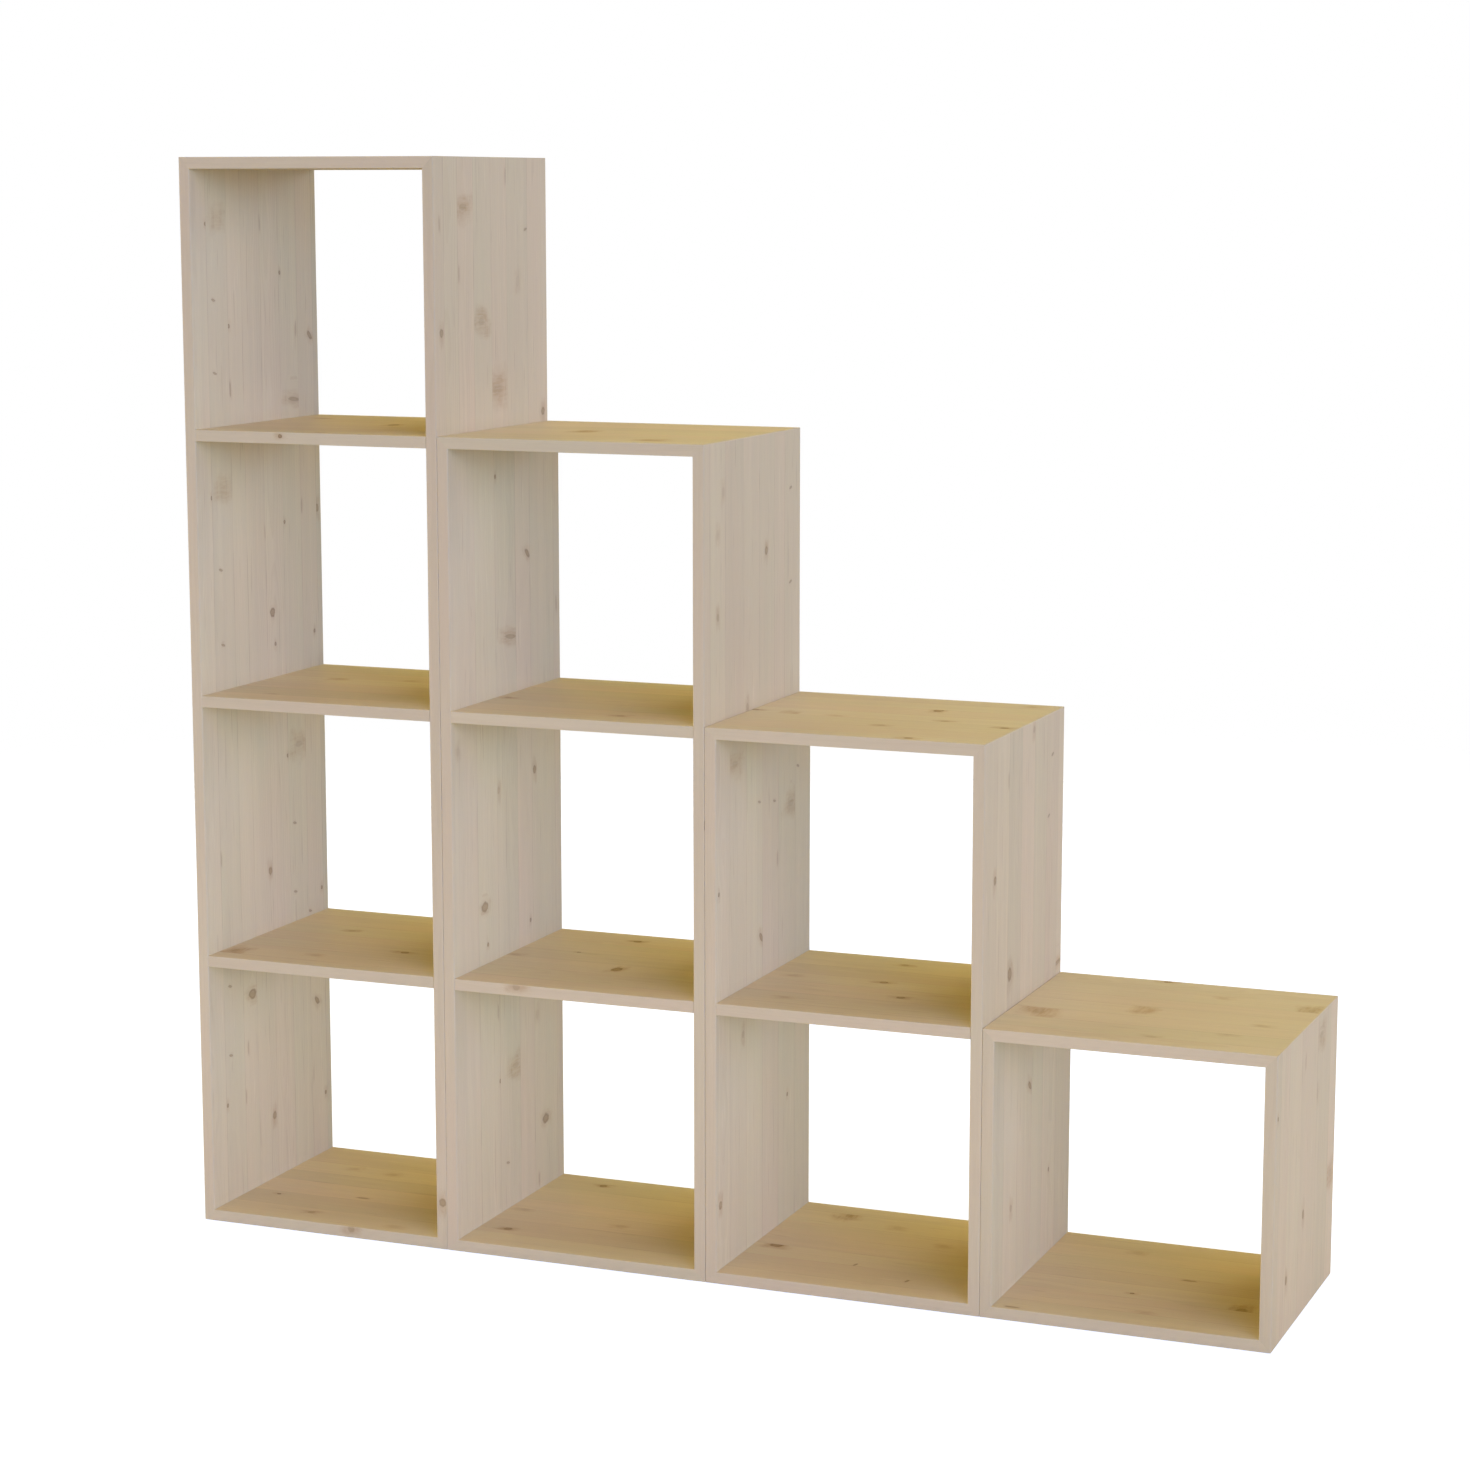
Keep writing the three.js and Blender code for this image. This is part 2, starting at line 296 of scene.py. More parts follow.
# Marks on the boards that lie flat show more: a factor on the heart, and a share of a second stain
FLAT_HEART_FACTOR = 1.15
FLAT_SECOND_STAIN = 0.6

# Random knots where none are listed
KNOTS_PER_METRE = 21
KNOT_SPACING = 55 * MM
KNOT_MARGIN = 5 * MM

# Random knots on the back edges: how many, and their places as shares along and through the board
EDGE_KNOTS_PER_METRE = 1.1
EDGE_KNOT_ALONG_SHARES = (-0.45, 0.45)
EDGE_KNOT_DEPTH_SHARES = (0.2, 0.8)

# Random staves: their borders as shares of the board's width
FIRST_BORDER_SHARES = (0.08, 0.17)
STAVE_WIDTH_SHARES = (0.125, 0.19)
LAST_BORDER_SHARE = 0.93

# The heart of the trunk lies under a stave that is sawn flat, and well to one side of another
FLAT_SAWN_CHANCE = 0.55
HEART_DEPTH_MM = (18, 60)
HEART_OFFSET_SHARES = (-0.5, 0.5)
HEART_OFFSET_MM = (45, 90)
RING_GAP_MM = (2.0, 4.2)

# Neighbouring staves mostly take turns at being the warmer one
HUES = (0.25, 1)
HUE_TURN_CHANCE = 0.75

# A face that looks sideways and lies this near the board's side belongs to its edge
EDGE_BAND = 2 * MM

# A border or a tip that a board doesn't have is put out here
FAR_OUT = 1.0

# How a warm cast changes red, green and blue
WARM_CHANGES = (0.014, -0.012, 0.003)

# Layers of the plywood
PLIES = 3

# Marks in the wood: a factor on its red, green and blue, and how strongly it shows
Mark = namedtuple("Mark", "factor strength")
FLECK = Mark((0.72, 0.6, 0.46), 0.22)
DARK_LINE = Mark((0.7, 0.63, 0.56), 0.33)
PALE_LINE = Mark((1.1, 1.12, 1.15), 0.5)
SEAM = Mark((0.62, 0.53, 0.44), 0.55)
CORE_PLY = Mark((0.82, 0.72, 0.6), 0.5)
PLY_GLUE = Mark((0.35, 0.2, 0.12), 0.7)
BEECH_RING = Mark((0.75, 0.62, 0.5), 0.35)
BEECH_RAY = Mark((0.6, 0.42, 0.3), 0.8)


# Sizes of the row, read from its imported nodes


class Tower:
    """One tower of the row: its outer box, its board thickness and its shelves."""

    def __init__(self, number):
        self.name = f"tower_{number}"
        left_low, left_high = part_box(f"{self.name}_left_side")
        right_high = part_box(f"{self.name}_right_side")[1]
        bottom_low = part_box(f"{self.name}_bottom")[0]
        top_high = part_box(f"{self.name}_top")[1]
        self.low = Vector((left_low.x, left_low.y, bottom_low.z))
        self.high = Vector((right_high.x, right_high.y, top_high.z))
        self.thickness = left_high.x - left_low.x
        on_shelf = [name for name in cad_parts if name.startswith(f"{self.name}_shelf_")]
        self.shelves = sorted(name for name in on_shelf if not name.endswith("tongue"))
        self.cells = len(self.shelves) + 1

    @property
    def middle(self):
        return (self.low + self.high) / 2

    @property
    def pitch(self):
        return (self.high.z - self.low.z - self.thickness) / self.cells


def all_towers():
    count = sum(name.endswith("_top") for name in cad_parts)
    return [Tower(number + 1) for number in range(count)]


class Board:
    """One board. In its own frame X runs along the grain, Y across it, and Z from the inner
    face at 0 to the outer face at the board's thickness."""

    def __init__(self, tower, node, length, axes, origin, mitred):
        self.tower = tower
        self.node = node
        self.length = length
        self.thickness = tower.thickness
        self.width = tower.high.y - tower.low.y
        self.mitred = mitred
        self.place = Matrix(axes).transposed().to_4x4()
        self.place.translation = origin
        self.slices = round(length / SLICE_LENGTH)

    @property
    def front_is_low(self):
        return self.place.col[1].y > 0

    @property
    def lies_flat(self):
        return abs(self.place.col[2].z) > abs(self.place.col[2].x)

    def line(self, index):
        """Where one cross line of the board's mesh lies along it."""
        return self.length * (index / self.slices - 0.5)

    def slice_at(self, x):
        return min(self.slices - 1, max(0, int((x / self.length + 0.5) * self.slices)))

    def across_from_front(self, share):
        """The place across the board of a share of the depth that is counted from the front."""
        return self.width * (share - 0.5) * (1 if self.front_is_low else -1)

    def along_from_low(self, share):
        """The place along the board of a share that is counted from the left or the floor."""
        return self.length * (share - 0.5) * (1 if sum(self.place.col[0][:3]) > 0 else -1)


def side_boards():
    boards = []
    for tower in all_towers():
        height = tower.high.z - tower.low.z
        left = Vector((tower.low.x + tower.thickness, tower.middle.y, tower.middle.z))
        right = Vector((tower.high.x - tower.thickness, tower.middle.y, tower.middle.z))
        boards.append(Board(tower, f"{tower.name}_left_side", height, (UP, BACK, LEFT), left, True))
        boards.append(Board(tower, f"{tower.name}_right_side", height, (UP, FRONT, RIGHT), right, True))
    return boards


def end_boards():
    """The top and the bottom of each tower."""
    boards = []
    for tower in all_towers():
        width = tower.high.x - tower.low.x
        top = Vector((tower.middle.x, tower.middle.y, tower.high.z - tower.thickness))
        bottom = Vector((tower.middle.x, tower.middle.y, tower.low.z + tower.thickness))
        boards.append(Board(tower, f"{tower.name}_top", width, (RIGHT, BACK, UP), top, True))
        boards.append(Board(tower, f"{tower.name}_bottom", width, (LEFT, BACK, DOWN), bottom, True))
    return boards


def shelf_boards(glue_line):
    boards = []
    for tower in all_towers():
        length = tower.high.x - tower.low.x - 2 * (tower.thickness + glue_line)
        for node in tower.shelves:
            origin = Vector((tower.middle.x, tower.middle.y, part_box(node)[0].z))
            boards.append(Board(tower, node, length, (RIGHT, BACK, UP), origin, False))
    return boards


# Meshes


def loft(mesh, rings):
    """Adds a closed body through rings of points, each ring with the same number of points."""
    rows = [[mesh.verts.new(point) for point in ring] for ring in rings]
    count = len(rings[0])
    for row, after in zip(rows, rows[1:]):
        for index in range(count):
            around = (index + 1) % count
            mesh.faces.new((row[index], row[around], after[around], after[index]))
    mesh.faces.new(reversed(rows[0]))
    mesh.faces.new(rows[-1])
    bmesh.ops.recalc_face_normals(mesh, faces=mesh.faces[:])


def piece_from(mesh, name, place=None):
    """Turns a bmesh into a linked object, set down at its place in the row."""
    data = bpy.data.meshes.new(name)
    mesh.to_mesh(data)
    mesh.free()
    piece = bpy.data.objects.new(name, data)
    bpy.context.scene.collection.objects.link(piece)
    if place is not None:
        piece.matrix_world = place
    bpy.context.view_layer.update()
    return piece


def shade_eased(piece):
    """Shades soft edges smooth and keeps cut edges crisp."""
    piece.data.shade_smooth()
    piece.data.set_sharp_from_angle(angle=SHARP_ANGLE)
    weighted = piece.modifiers.new("even_shading", "WEIGHTED_NORMAL")
    weighted.keep_sharp = True


def finish_piece(piece, material, slot, *nodes):
    piece.data.materials.clear()
    piece.data.materials.append(material)
    shade_eased(piece)
    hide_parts(*nodes)
    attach(piece, BODY)


def stadium(width, length, inset=0.0):
    """Outline with two round noses, width along X and length along Y."""
    nose = width / 2
    straight = length / 2 - nose
    reach = nose - inset
    points = []
    for end, first_angle in ((1, 0.0), (-1, math.pi)):
        for step in range(NOSE_STEPS + 1):
            angle = math.pi * step / NOSE_STEPS + first_angle
            points.append((reach * math.cos(angle), end * straight + reach * math.sin(angle)))
    return points


def flat_ring(outline, z, place):
    return [place @ Vector((x, y, z)) for x, y in outline]


def eased_ends(length, ease):
    """Stations along a piece that is eased at both ends, each with how far it draws in there."""
    end = length / 2
    return ((-end, ease), (ease - end, 0), (end - ease, 0), (end, ease))


def tongue_seat(node):
    """The place of a loose tongue and its width, length and thickness, from its packed box."""
    low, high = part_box(node)
    centre = (low + high) / 2
    size = high - low
    if "shelf" in node:
        return Matrix.Translation(centre), size
    stock_low, stock_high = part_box(STOCK_TONGUE)
    thickness = stock_high.z - stock_low.z
    outward = centre - Tower(int(node.split("_")[1])).middle
    turn = math.radians(45 if outward.x * outward.z > 0 else -45)
    # Turned by half a right angle, its box is as wide as its width and thickness together
    width = size.x * math.sqrt(2) - thickness
    place = Matrix.Translation(centre) @ Matrix.Rotation(turn, 4, "Y")
    return place, Vector((width, size.y, thickness))


def tongue_nodes():
    return [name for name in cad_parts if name.endswith("_tongue")]


def peg_nodes():
    return [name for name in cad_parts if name.startswith("peg_")]


def build_tongue(node):
    place, (width, length, thickness) = tongue_seat(node)
    flat = Matrix.Identity(4)
    mesh = bmesh.new()
    loft(mesh, [
        flat_ring(stadium(width, length, inset), z, flat)
        for z, inset in eased_ends(thickness, TONGUE_EASE)
    ])
    return piece_from(mesh, f"{node}_ply", place)


def fluted_ring(x, radius):
    """A round section with fine flutes, which let the glue past."""
    ring = []
    for step in range(PEG_STEPS):
        turn = math.tau * step / PEG_STEPS
        flute = FLUTE_DEPTH * (0.5 - 0.5 * math.cos(FLUTES * turn)) ** 2
        reach = radius - flute
        ring.append(Vector((x, reach * math.cos(turn), reach * math.sin(turn))))
    return ring


def build_peg(node):
    low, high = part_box(node)
    length, _, thickness = high - low
    mesh = bmesh.new()
    loft(mesh, [
        fluted_ring(x, thickness / 2 - inset) for x, inset in eased_ends(length, PEG_CHAMFER)
    ])
    return piece_from(mesh, f"{node}_dowel", Matrix.Translation((low + high) / 2))


def add_groove(cutter, node):
    """Adds the shape of the groove round one tongue."""
    place, size = tongue_seat(node)
    width, length, thickness = size + Vector((1, 1, 1)) * 2 * SEAT_CLEARANCE
    outline = stadium(width, length)
    loft(cutter, [flat_ring(outline, z, place) for z in (-thickness / 2, thickness / 2)])


def add_peg_hole(cutter, node):
    """Adds the shape of the hole round one peg, along X."""
    low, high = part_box(node)
    middle = (low + high) / 2
    radius = (high.z - low.z) / 2 + SEAT_CLEARANCE
    turns = [math.tau * step / HOLE_STEPS for step in range(HOLE_STEPS)]
    round_section = [(radius * math.cos(turn), radius * math.sin(turn)) for turn in turns]
    loft(cutter, [
        [Vector((x, middle.y + y, middle.z + z)) for y, z in round_section]
        for x in (low.x - SEAT_CLEARANCE, high.x + SEAT_CLEARANCE)
    ])


def boxes_meet(first, second):
    low = Vector(max(a, b) for a, b in zip(first[0], second[0]))
    high = Vector(min(a, b) for a, b in zip(first[1], second[1]))
    return all(h - l > -SEAT_CLEARANCE for l, h in zip(low, high))


def cut_seats(piece, node):
    """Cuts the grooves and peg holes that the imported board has."""
    cutter = bmesh.new()
    own_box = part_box(node)
    for tongue in tongue_nodes():
        if boxes_meet(own_box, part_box(tongue)):
            add_groove(cutter, tongue)
    for peg in peg_nodes():
        if boxes_meet(own_box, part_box(peg)):
            add_peg_hole(cutter, peg)
    tool = piece_from(cutter, "cutting_tool")
    cut = piece.modifiers.new("seats", "BOOLEAN")
    cut.operation = "DIFFERENCE"
    cut.solver = "EXACT"
    cut.object = tool
    graph = bpy.context.evaluated_depsgraph_get()
    carved = bpy.data.meshes.new_from_object(piece.evaluated_get(graph))
    piece.modifiers.clear()
    piece.data = carved
    bpy.data.objects.remove(tool)


class EasedEdges:
    """Hand-eased long edges, whose radius wanders a little along the board."""

    def __init__(self, board, radius, wander):
        rng = random.Random(f"{board.node} edges")
        self.radius = radius
        self.wander = wander
        self.waves = [
            [(rng.uniform(*rates), rng.uniform(0, math.tau)) for rates in (SLOW_WAVES, QUICK_WAVES)]
            for corner in range(4)
        ]

    def at(self, corner, x):
        slow, quick = (math.sin(rate * x + phase) for rate, phase in self.waves[corner])
        swing = SLOW_WAVE_SHARE * slow + (1 - SLOW_WAVE_SHARE) * quick
        return self.radius * (1 + self.wander * swing)


def section_ring(board, x, stave_lines, edges):
    """The points round the board's section at one place along it."""
    half = board.width / 2
    corners = ((1, 0), (1, 1), (-1, 1), (-1, 0))
    ring = [Vector((x, y, 0)) for y in stave_lines]
    for index, (side, face) in enumerate(corners):
        radius = edges.at(index, x)
        middle_y = side * (half - radius)
        middle_z = board.thickness - radius if face else radius
        for step in range(ARRIS_STEPS + 1):
            angle = math.pi / 2 * (index - 1 + step / ARRIS_STEPS)
            ring.append(Vector((
                x,
                middle_y + radius * math.cos(angle),
                middle_z + radius * math.sin(angle),
            )))
        if index == 1:
            ring += [Vector((x, y, board.thickness)) for y in reversed(stave_lines)]
    return ring


def cut_off(mesh, point, normal):
    """Cuts away what lies past a plane and closes the cut."""
    everything = mesh.verts[:] + mesh.edges[:] + mesh.faces[:]
    cut = bmesh.ops.bisect_plane(
        mesh, geom=everything, plane_co=point, plane_no=normal, dist=SAME_POINT, clear_outer=True
    )
    rim = [part for part in cut["geom_cut"] if isinstance(part, bmesh.types.BMEdge)]
    bmesh.ops.holes_fill(mesh, edges=rim)


def mitre_end(mesh, board, end, glue_line, radius):
    """Cuts one end to its mitre and rounds the tip."""
    half = board.length / 2
    for degrees in TIP_ANGLES_DEG:
        angle = math.radians(degrees)
        normal = Vector((end * math.cos(angle), 0, math.sin(angle)))
        middle = Vector((end * (half - radius), 0, board.thickness - radius))
        cut_off(mesh, middle + normal * radius, normal)
    shoulder = half - board.thickness - glue_line / math.sqrt(2)
    cut_off(mesh, Vector((end * shoulder, 0, 0)), Vector((end, 0, -1)).normalized())


def build_board(board, sizes, staves):
    edges = EasedEdges(board, sizes.arris_radius, sizes.arris_wander)
    mesh = bmesh.new()
    lines = [stave.high for stave in staves[:-1]]
    stations = [board.line(index) for index in range(board.slices + 1)]
    loft(mesh, [section_ring(board, x, lines, edges) for x in stations])
    if board.mitred:
        for end in (-1, 1):
            mitre_end(mesh, board, end, sizes.glue_line, sizes.arris_radius)
    piece = piece_from(mesh, f"{board.node}_board", board.place)
    cut_seats(piece, board.node)
    return piece


# Staves and knots


Stave = namedtuple("Stave", "low high seed heart_y heart_z tone hue ring_gap")
Knot = namedtuple("Knot", "x across kind")
NO_KNOT = Knot(FAR_OUT, FAR_OUT, KnotKind(1.0, 1.0, 0.0, 1.0, 1.0, 0.0, 0.0))


def make_staves(board):
    """The strips that the board is glued up from, each with its own heart and tone."""
    rng = random.Random(f"{board.node} staves")
    shares = STAVE_SHARES.get(board.node) or random_stave_shares(rng)
    borders = sorted(board.across_from_front(share) for share in (0, *shares, 1))
    staves = []
    warm = rng.choice((-1, 1))
    for low, high in zip(borders, borders[1:]):
        flat_sawn = rng.random() < FLAT_SAWN_CHANCE
        depth = rng.uniform(*HEART_DEPTH_MM) * MM
        if flat_sawn:
            offset = rng.uniform(*HEART_OFFSET_SHARES) * (high - low)
        else:
            offset = rng.choice((-1, 1)) * rng.uniform(*HEART_OFFSET_MM) * MM
        staves.append(Stave(
            low=low,
            high=high,
            seed=rng.uniform(0, 100),
            heart_y=(low + high) / 2 + offset,
            heart_z=-depth if rng.random() < 0.5 else board.thickness + depth,
            tone=rng.uniform(-1, 1),
            hue=warm * rng.uniform(*HUES),
            ring_gap=rng.uniform(*RING_GAP_MM) * MM,
        ))
        warm = -warm if rng.random() < HUE_TURN_CHANCE else warm
    if board.node in STAVE_TONES:
        listed = zip(staves, STAVE_TONES[board.node])
        staves = [stave._replace(tone=TONES[name]) for stave, name in listed]
    return staves


def random_stave_shares(rng):
    shares = []
    share = rng.uniform(*FIRST_BORDER_SHARES)
    while share < LAST_BORDER_SHARE:
        shares.append(share)
        share += rng.uniform(*STAVE_WIDTH_SHARES)
    return shares


def listed_knots(board):
    """The knots of the tables, in the board's own frame."""
    tower = board.tower
    to_board = board.place.inverted()
    depth = board.width
    cell = tower.pitch - tower.thickness
    found = []

    def add(x, y, z, kind):
        place = to_board @ Vector((x, y, z))
        found.append(Knot(place.x, place.y, KNOT_KINDS[kind]))

    for index, cell_knots in enumerate(CELL_KNOTS.get(board.node, ())):
        ceiling = tower.high.z - tower.thickness - index * tower.pitch
        for across, down, kind in cell_knots:
            add(tower.low.x, tower.low.y + across * depth, ceiling - down * cell, kind)
    for across, down, kind in STEP_KNOTS.get(board.node, ()):
        add(tower.high.x, tower.low.y + across * depth, tower.high.z - down * tower.pitch, kind)
    inset = 0 if board.node.endswith("top") else tower.thickness
    visible = tower.high.x - tower.low.x - 2 * inset
    for along, from_back, kind in UPPER_KNOTS.get(board.node, ()):
        add(tower.low.x + inset + along * visible, tower.high.y - from_back * depth, 0, kind)
    return found


def listed_span(board):
    """The stretch of the board, in its own frame, that the tables describe."""
    half = board.length / 2
    if board.node in CELL_KNOTS or board.node in UPPER_KNOTS:
        return -half, half
    if board.node in STEP_KNOTS:
        return half - board.tower.pitch, half
    return half, half


def random_knots(board, staves, knots):
    """Knots for the stretches that the tables leave out, clear of each other along the grain."""
    rng = random.Random(f"{board.node} knots")
    low, high = listed_span(board)
    half = board.length / 2
    made = []
    for start, end in ((-half, low), (high, half)):
        for _ in range(round((end - start) * KNOTS_PER_METRE)):
            x = rng.uniform(start, end)
            stave = rng.choice(staves)
            across = rng.uniform(stave.low + KNOT_MARGIN, stave.high - KNOT_MARGIN)
            kind = KNOT_KINDS[rng.choice(RANDOM_KINDS)]
            crowded = any(
                stave.low < other.across < stave.high and abs(other.x - x) < KNOT_SPACING
                for other in knots + made
            )
            if not crowded:
                made.append(Knot(x, across, kind))
    return made


def edge_knots(board):
    """Knots on the two long edges, as lists for the low and the high side across the board."""
    rng = random.Random(f"{board.node} edge knots")
    front = [
        Knot(board.along_from_low(along), depth * board.thickness, KNOT_KINDS[kind])
        for along, depth, kind in EDGE_KNOTS.get(board.node, ())
    ]
    back = []
    for _ in range(round(board.length * EDGE_KNOTS_PER_METRE)):
        along = board.length * rng.uniform(*EDGE_KNOT_ALONG_SHARES)
        depth = board.thickness * rng.uniform(*EDGE_KNOT_DEPTH_SHARES)
        back.append(Knot(along, depth, KNOT_KINDS["pin"]))
    return (front, back) if board.front_is_low else (back, front)


class Lane:
    """A strip along the board, each slice of which takes up the nearest of the strip's knots."""

    def __init__(self, board, knots):
        self.board = board
        self.knots = knots
        middles = [(board.line(index) + board.line(index + 1)) / 2 for index in range(board.slices)]
        self.owner = [
            min(range(len(knots)), key=lambda index: abs(knots[index].x - middle)) if knots else None
            for middle in middles
        ]

    def at(self, x):
        """The knot for a slice, and how far it may reach along the grain."""
        owner = self.owner[self.board.slice_at(x)]
        if owner is None:
            return NO_KNOT, MM
        knot = self.knots[owner]
        own = [index for index, name in enumerate(self.owner) if name == owner]
        reach = self.board.length
        if own[0] > 0:
            reach = min(reach, knot.x - self.board.line(own[0]))
        if own[-1] < self.board.slices - 1:
            reach = min(reach, self.board.line(own[-1] + 1) - knot.x)
        return knot, max(reach, MM)


def stave_marks(board, staves, number):
    """What the material reads of one stave, in millimetres."""
    stave = staves[number]
    low = stave.low if number > 0 else -FAR_OUT
    high = stave.high if number < len(staves) - 1 else FAR_OUT
    tip = board.length / 2 if board.mitred else FAR_OUT
    return {
        "stave_grain": (stave.seed, stave.heart_y / MM, stave.heart_z / MM),
        "stave_span": (low / MM, high / MM, tip / MM),
        "stave_tone": (stave.tone, stave.hue, stave.ring_gap / MM),
    }


def knot_marks(board, knot, reach):
    """What the material reads of one knot, in millimetres."""
    kind = knot.kind
    heart = kind.heart * (FLAT_HEART_FACTOR if board.lies_flat else 1)
    seed = 10 * (knot.x + knot.across) / MM
    second_stain = FLAT_SECOND_STAIN if board.lies_flat else 0
    return {
        "knot_place": (knot.x / MM, knot.across / MM, reach / MM),
        "knot_heart": (kind.radius, kind.stretch, heart),
        "knot_halo": (kind.halo_radius, kind.halo_stretch, kind.halo),
        "knot_look": (math.radians(kind.tilt), seed, second_stain),
    }


def mark_wood(piece, board, staves):
    """Writes each face's stave and nearest knot on the mesh, for the material."""
    knots = listed_knots(board)
    knots += random_knots(board, staves, knots)
    lanes = [Lane(board, [k for k in knots if s.low <= k.across < s.high]) for s in staves]
    edge_lanes = [Lane(board, found) for found in edge_knots(board)]
    half = board.width / 2
    last = len(staves) - 1
    # The painted light tint of the board's kind, for its broad faces
    tint = next(tint for kind, tint in BOARD_LIGHT_TINTS.items() if f"_{kind}" in board.node)
    rows = []
    on_edge = []
    for face in piece.data.polygons:
        centre = face.center
        number = next((i for i, s in enumerate(staves) if centre.y < s.high), last)
        edge = abs(face.normal.y) > abs(face.normal.z) and half - abs(centre.y) < EDGE_BAND
        lane = edge_lanes[1 if centre.y > 0 else 0] if edge else lanes[number]
        knot, reach = lane.at(centre.x)
        stave_row = stave_marks(board, staves, number)
        rows.append({"board_tint": tint, **stave_row, **knot_marks(board, knot, reach)})
        on_edge.append(1.0 if edge else 0.0)
    for name in rows[0]:
        layer = piece.data.attributes.new(name, "FLOAT_VECTOR", "FACE")
        layer.data.foreach_set("vector", [number for row in rows for number in row[name]])
    layer = piece.data.attributes.new("on_edge", "FLOAT", "FACE")
    layer.data.foreach_set("value", on_edge)


# Node trees


FLOAT = "NodeSocketFloat"
VECTOR = "NodeSocketVector"

# How the nodes of a tree are set out in its editor
NODES_PER_COLUMN = 7
NODE_SPACING = 220


class Wiring:
    """Adds nodes to one tree and joins them up."""

    def __init__(self, tree):
        self.tree = tree
        self.tree.nodes.clear()

    def add(self, kind, inputs=None, **settings):
        node = self.tree.nodes.new(kind)
        column, row = divmod(len(self.tree.nodes), NODES_PER_COLUMN)
        node.location = (NODE_SPACING * column, -NODE_SPACING * row)
        for name, value in settings.items():
            setattr(node, name, value)
        for name, value in (inputs or {}).items():
            self.feed(node.inputs[name], value)
        return node

    def feed(self, socket, value):
        """Joins a socket to another, or sets its value. A colour comes without its alpha."""
        if isinstance(value, bpy.types.NodeSocket):
            self.tree.links.new(value, socket)
        elif socket.type == "RGBA":
            socket.default_value = (*value, 1)
        else:
            socket.default_value = value

    def math(self, operation, *values):
        return self.add("ShaderNodeMath", dict(enumerate(values)), operation=operation).outputs[0]

    def times(self, first, *others):
        for other in others:
            first = self.math("MULTIPLY", first, other)
        return first

    def plus(self, first, second):
        return self.math("ADD", first, second)

    def minus(self, first, second):
        return self.math("SUBTRACT", first, second)

    def times_plus(self, value, factor, addend):
        return self.math("MULTIPLY_ADD", value, factor, addend)

    def between(self, value, low, high):
        """Low where the value is 0, and high where it is 1."""
        return self.times_plus(value, high - low, low)

    def vector(self, operation, *values):
        return self.add("ShaderNodeVectorMath", dict(enumerate(values)), operation=operation).outputs[0]

    def split(self, value):
        return self.add("ShaderNodeSeparateXYZ", {0: value}).outputs

    def join(self, x, y, z):
        return self.add("ShaderNodeCombineXYZ", {0: x, 1: y, 2: z}).outputs[0]

    def step(self, value, start, end):
        """0 where the value is at start, 1 where it is at end, and smooth between them."""
        inputs = {0: value, 1: start, 2: end}
        return self.add("ShaderNodeMapRange", inputs, interpolation_type="SMOOTHSTEP").outputs[0]

    def around(self, value, swing):
        """1 give or take the swing, as the value goes from 0 to 1."""
        return self.add("ShaderNodeMapRange", {0: value, 3: 1 - swing, 4: 1 + swing}).outputs[0]

    def noise(self, place, detail, roughness=0.5):
        inputs = {"Vector": place, "Scale": 1.0, "Detail": detail, "Roughness": roughness}
        return self.add("ShaderNodeTexNoise", inputs).outputs[0]

    def chance(self, place):
        """A random value for each place."""
        return self.add("ShaderNodeTexWhiteNoise", {"Vector": place}).outputs[0]

    def blend(self, share, first, second, way="MIX"):
        inputs = {0: share, 6: first, 7: second}
        return self.add("ShaderNodeMix", inputs, data_type="RGBA", blend_type=way).outputs[2]

    def tint(self, share, colour, factor):
        """The colour multiplied by a factor colour, to the given share."""
        return self.blend(share, colour, factor, way="MULTIPLY")

    def mark(self, colour, mark, where):
        """The colour with one kind of mark, where that value is above 0."""
        return self.tint(self.times(where, mark.strength), colour, mark.factor)

    def attribute(self, name, output="Vector"):
        return self.add("ShaderNodeAttribute", attribute_name=name).outputs[output]

    def group(self, name, **inputs):
        node = self.add("ShaderNodeGroup", node_tree=bpy.data.node_groups[name])
        for label, value in inputs.items():
            self.feed(node.inputs[label.replace("_", " ")], value)
        return node.outputs

    def place_in_mm(self):
        place = self.add("ShaderNodeTexCoord").outputs["Object"]
        return self.vector("MULTIPLY", place, (1 / MM, 1 / MM, 1 / MM))

    def surface(self, colour, roughness, height, gloss, relief):
        """Ends a material in a Principled BSDF. Relief is the height of a bump of 1, in metres."""
        bump = self.add("ShaderNodeBump", {"Height": height, "Strength": 1.0, "Distance": relief})
        shader = self.add("ShaderNodeBsdfPrincipled", {
            "Base Color": colour,
            "Roughness": roughness,
            "Normal": bump.outputs[0],
            "Specular IOR Level": gloss,
        })
        self.add("ShaderNodeOutputMaterial", {"Surface": shader.outputs[0]})


def new_group(name, inputs, outputs):
    """An empty node group with its sockets. Inputs are name: (kind, default)."""
    tree = bpy.data.node_groups.new(name, "ShaderNodeTree")
    for label, (kind, default) in inputs.items():
        socket = tree.interface.new_socket(name=label, in_out="INPUT", socket_type=kind)
        socket.default_value = default
    for label, kind in outputs.items():
        tree.interface.new_socket(name=label, in_out="OUTPUT", socket_type=kind)
    wiring = Wiring(tree)
    start = wiring.add("NodeGroupInput")
    end = wiring.add("NodeGroupOutput")
    return wiring, start.outputs, end.inputs


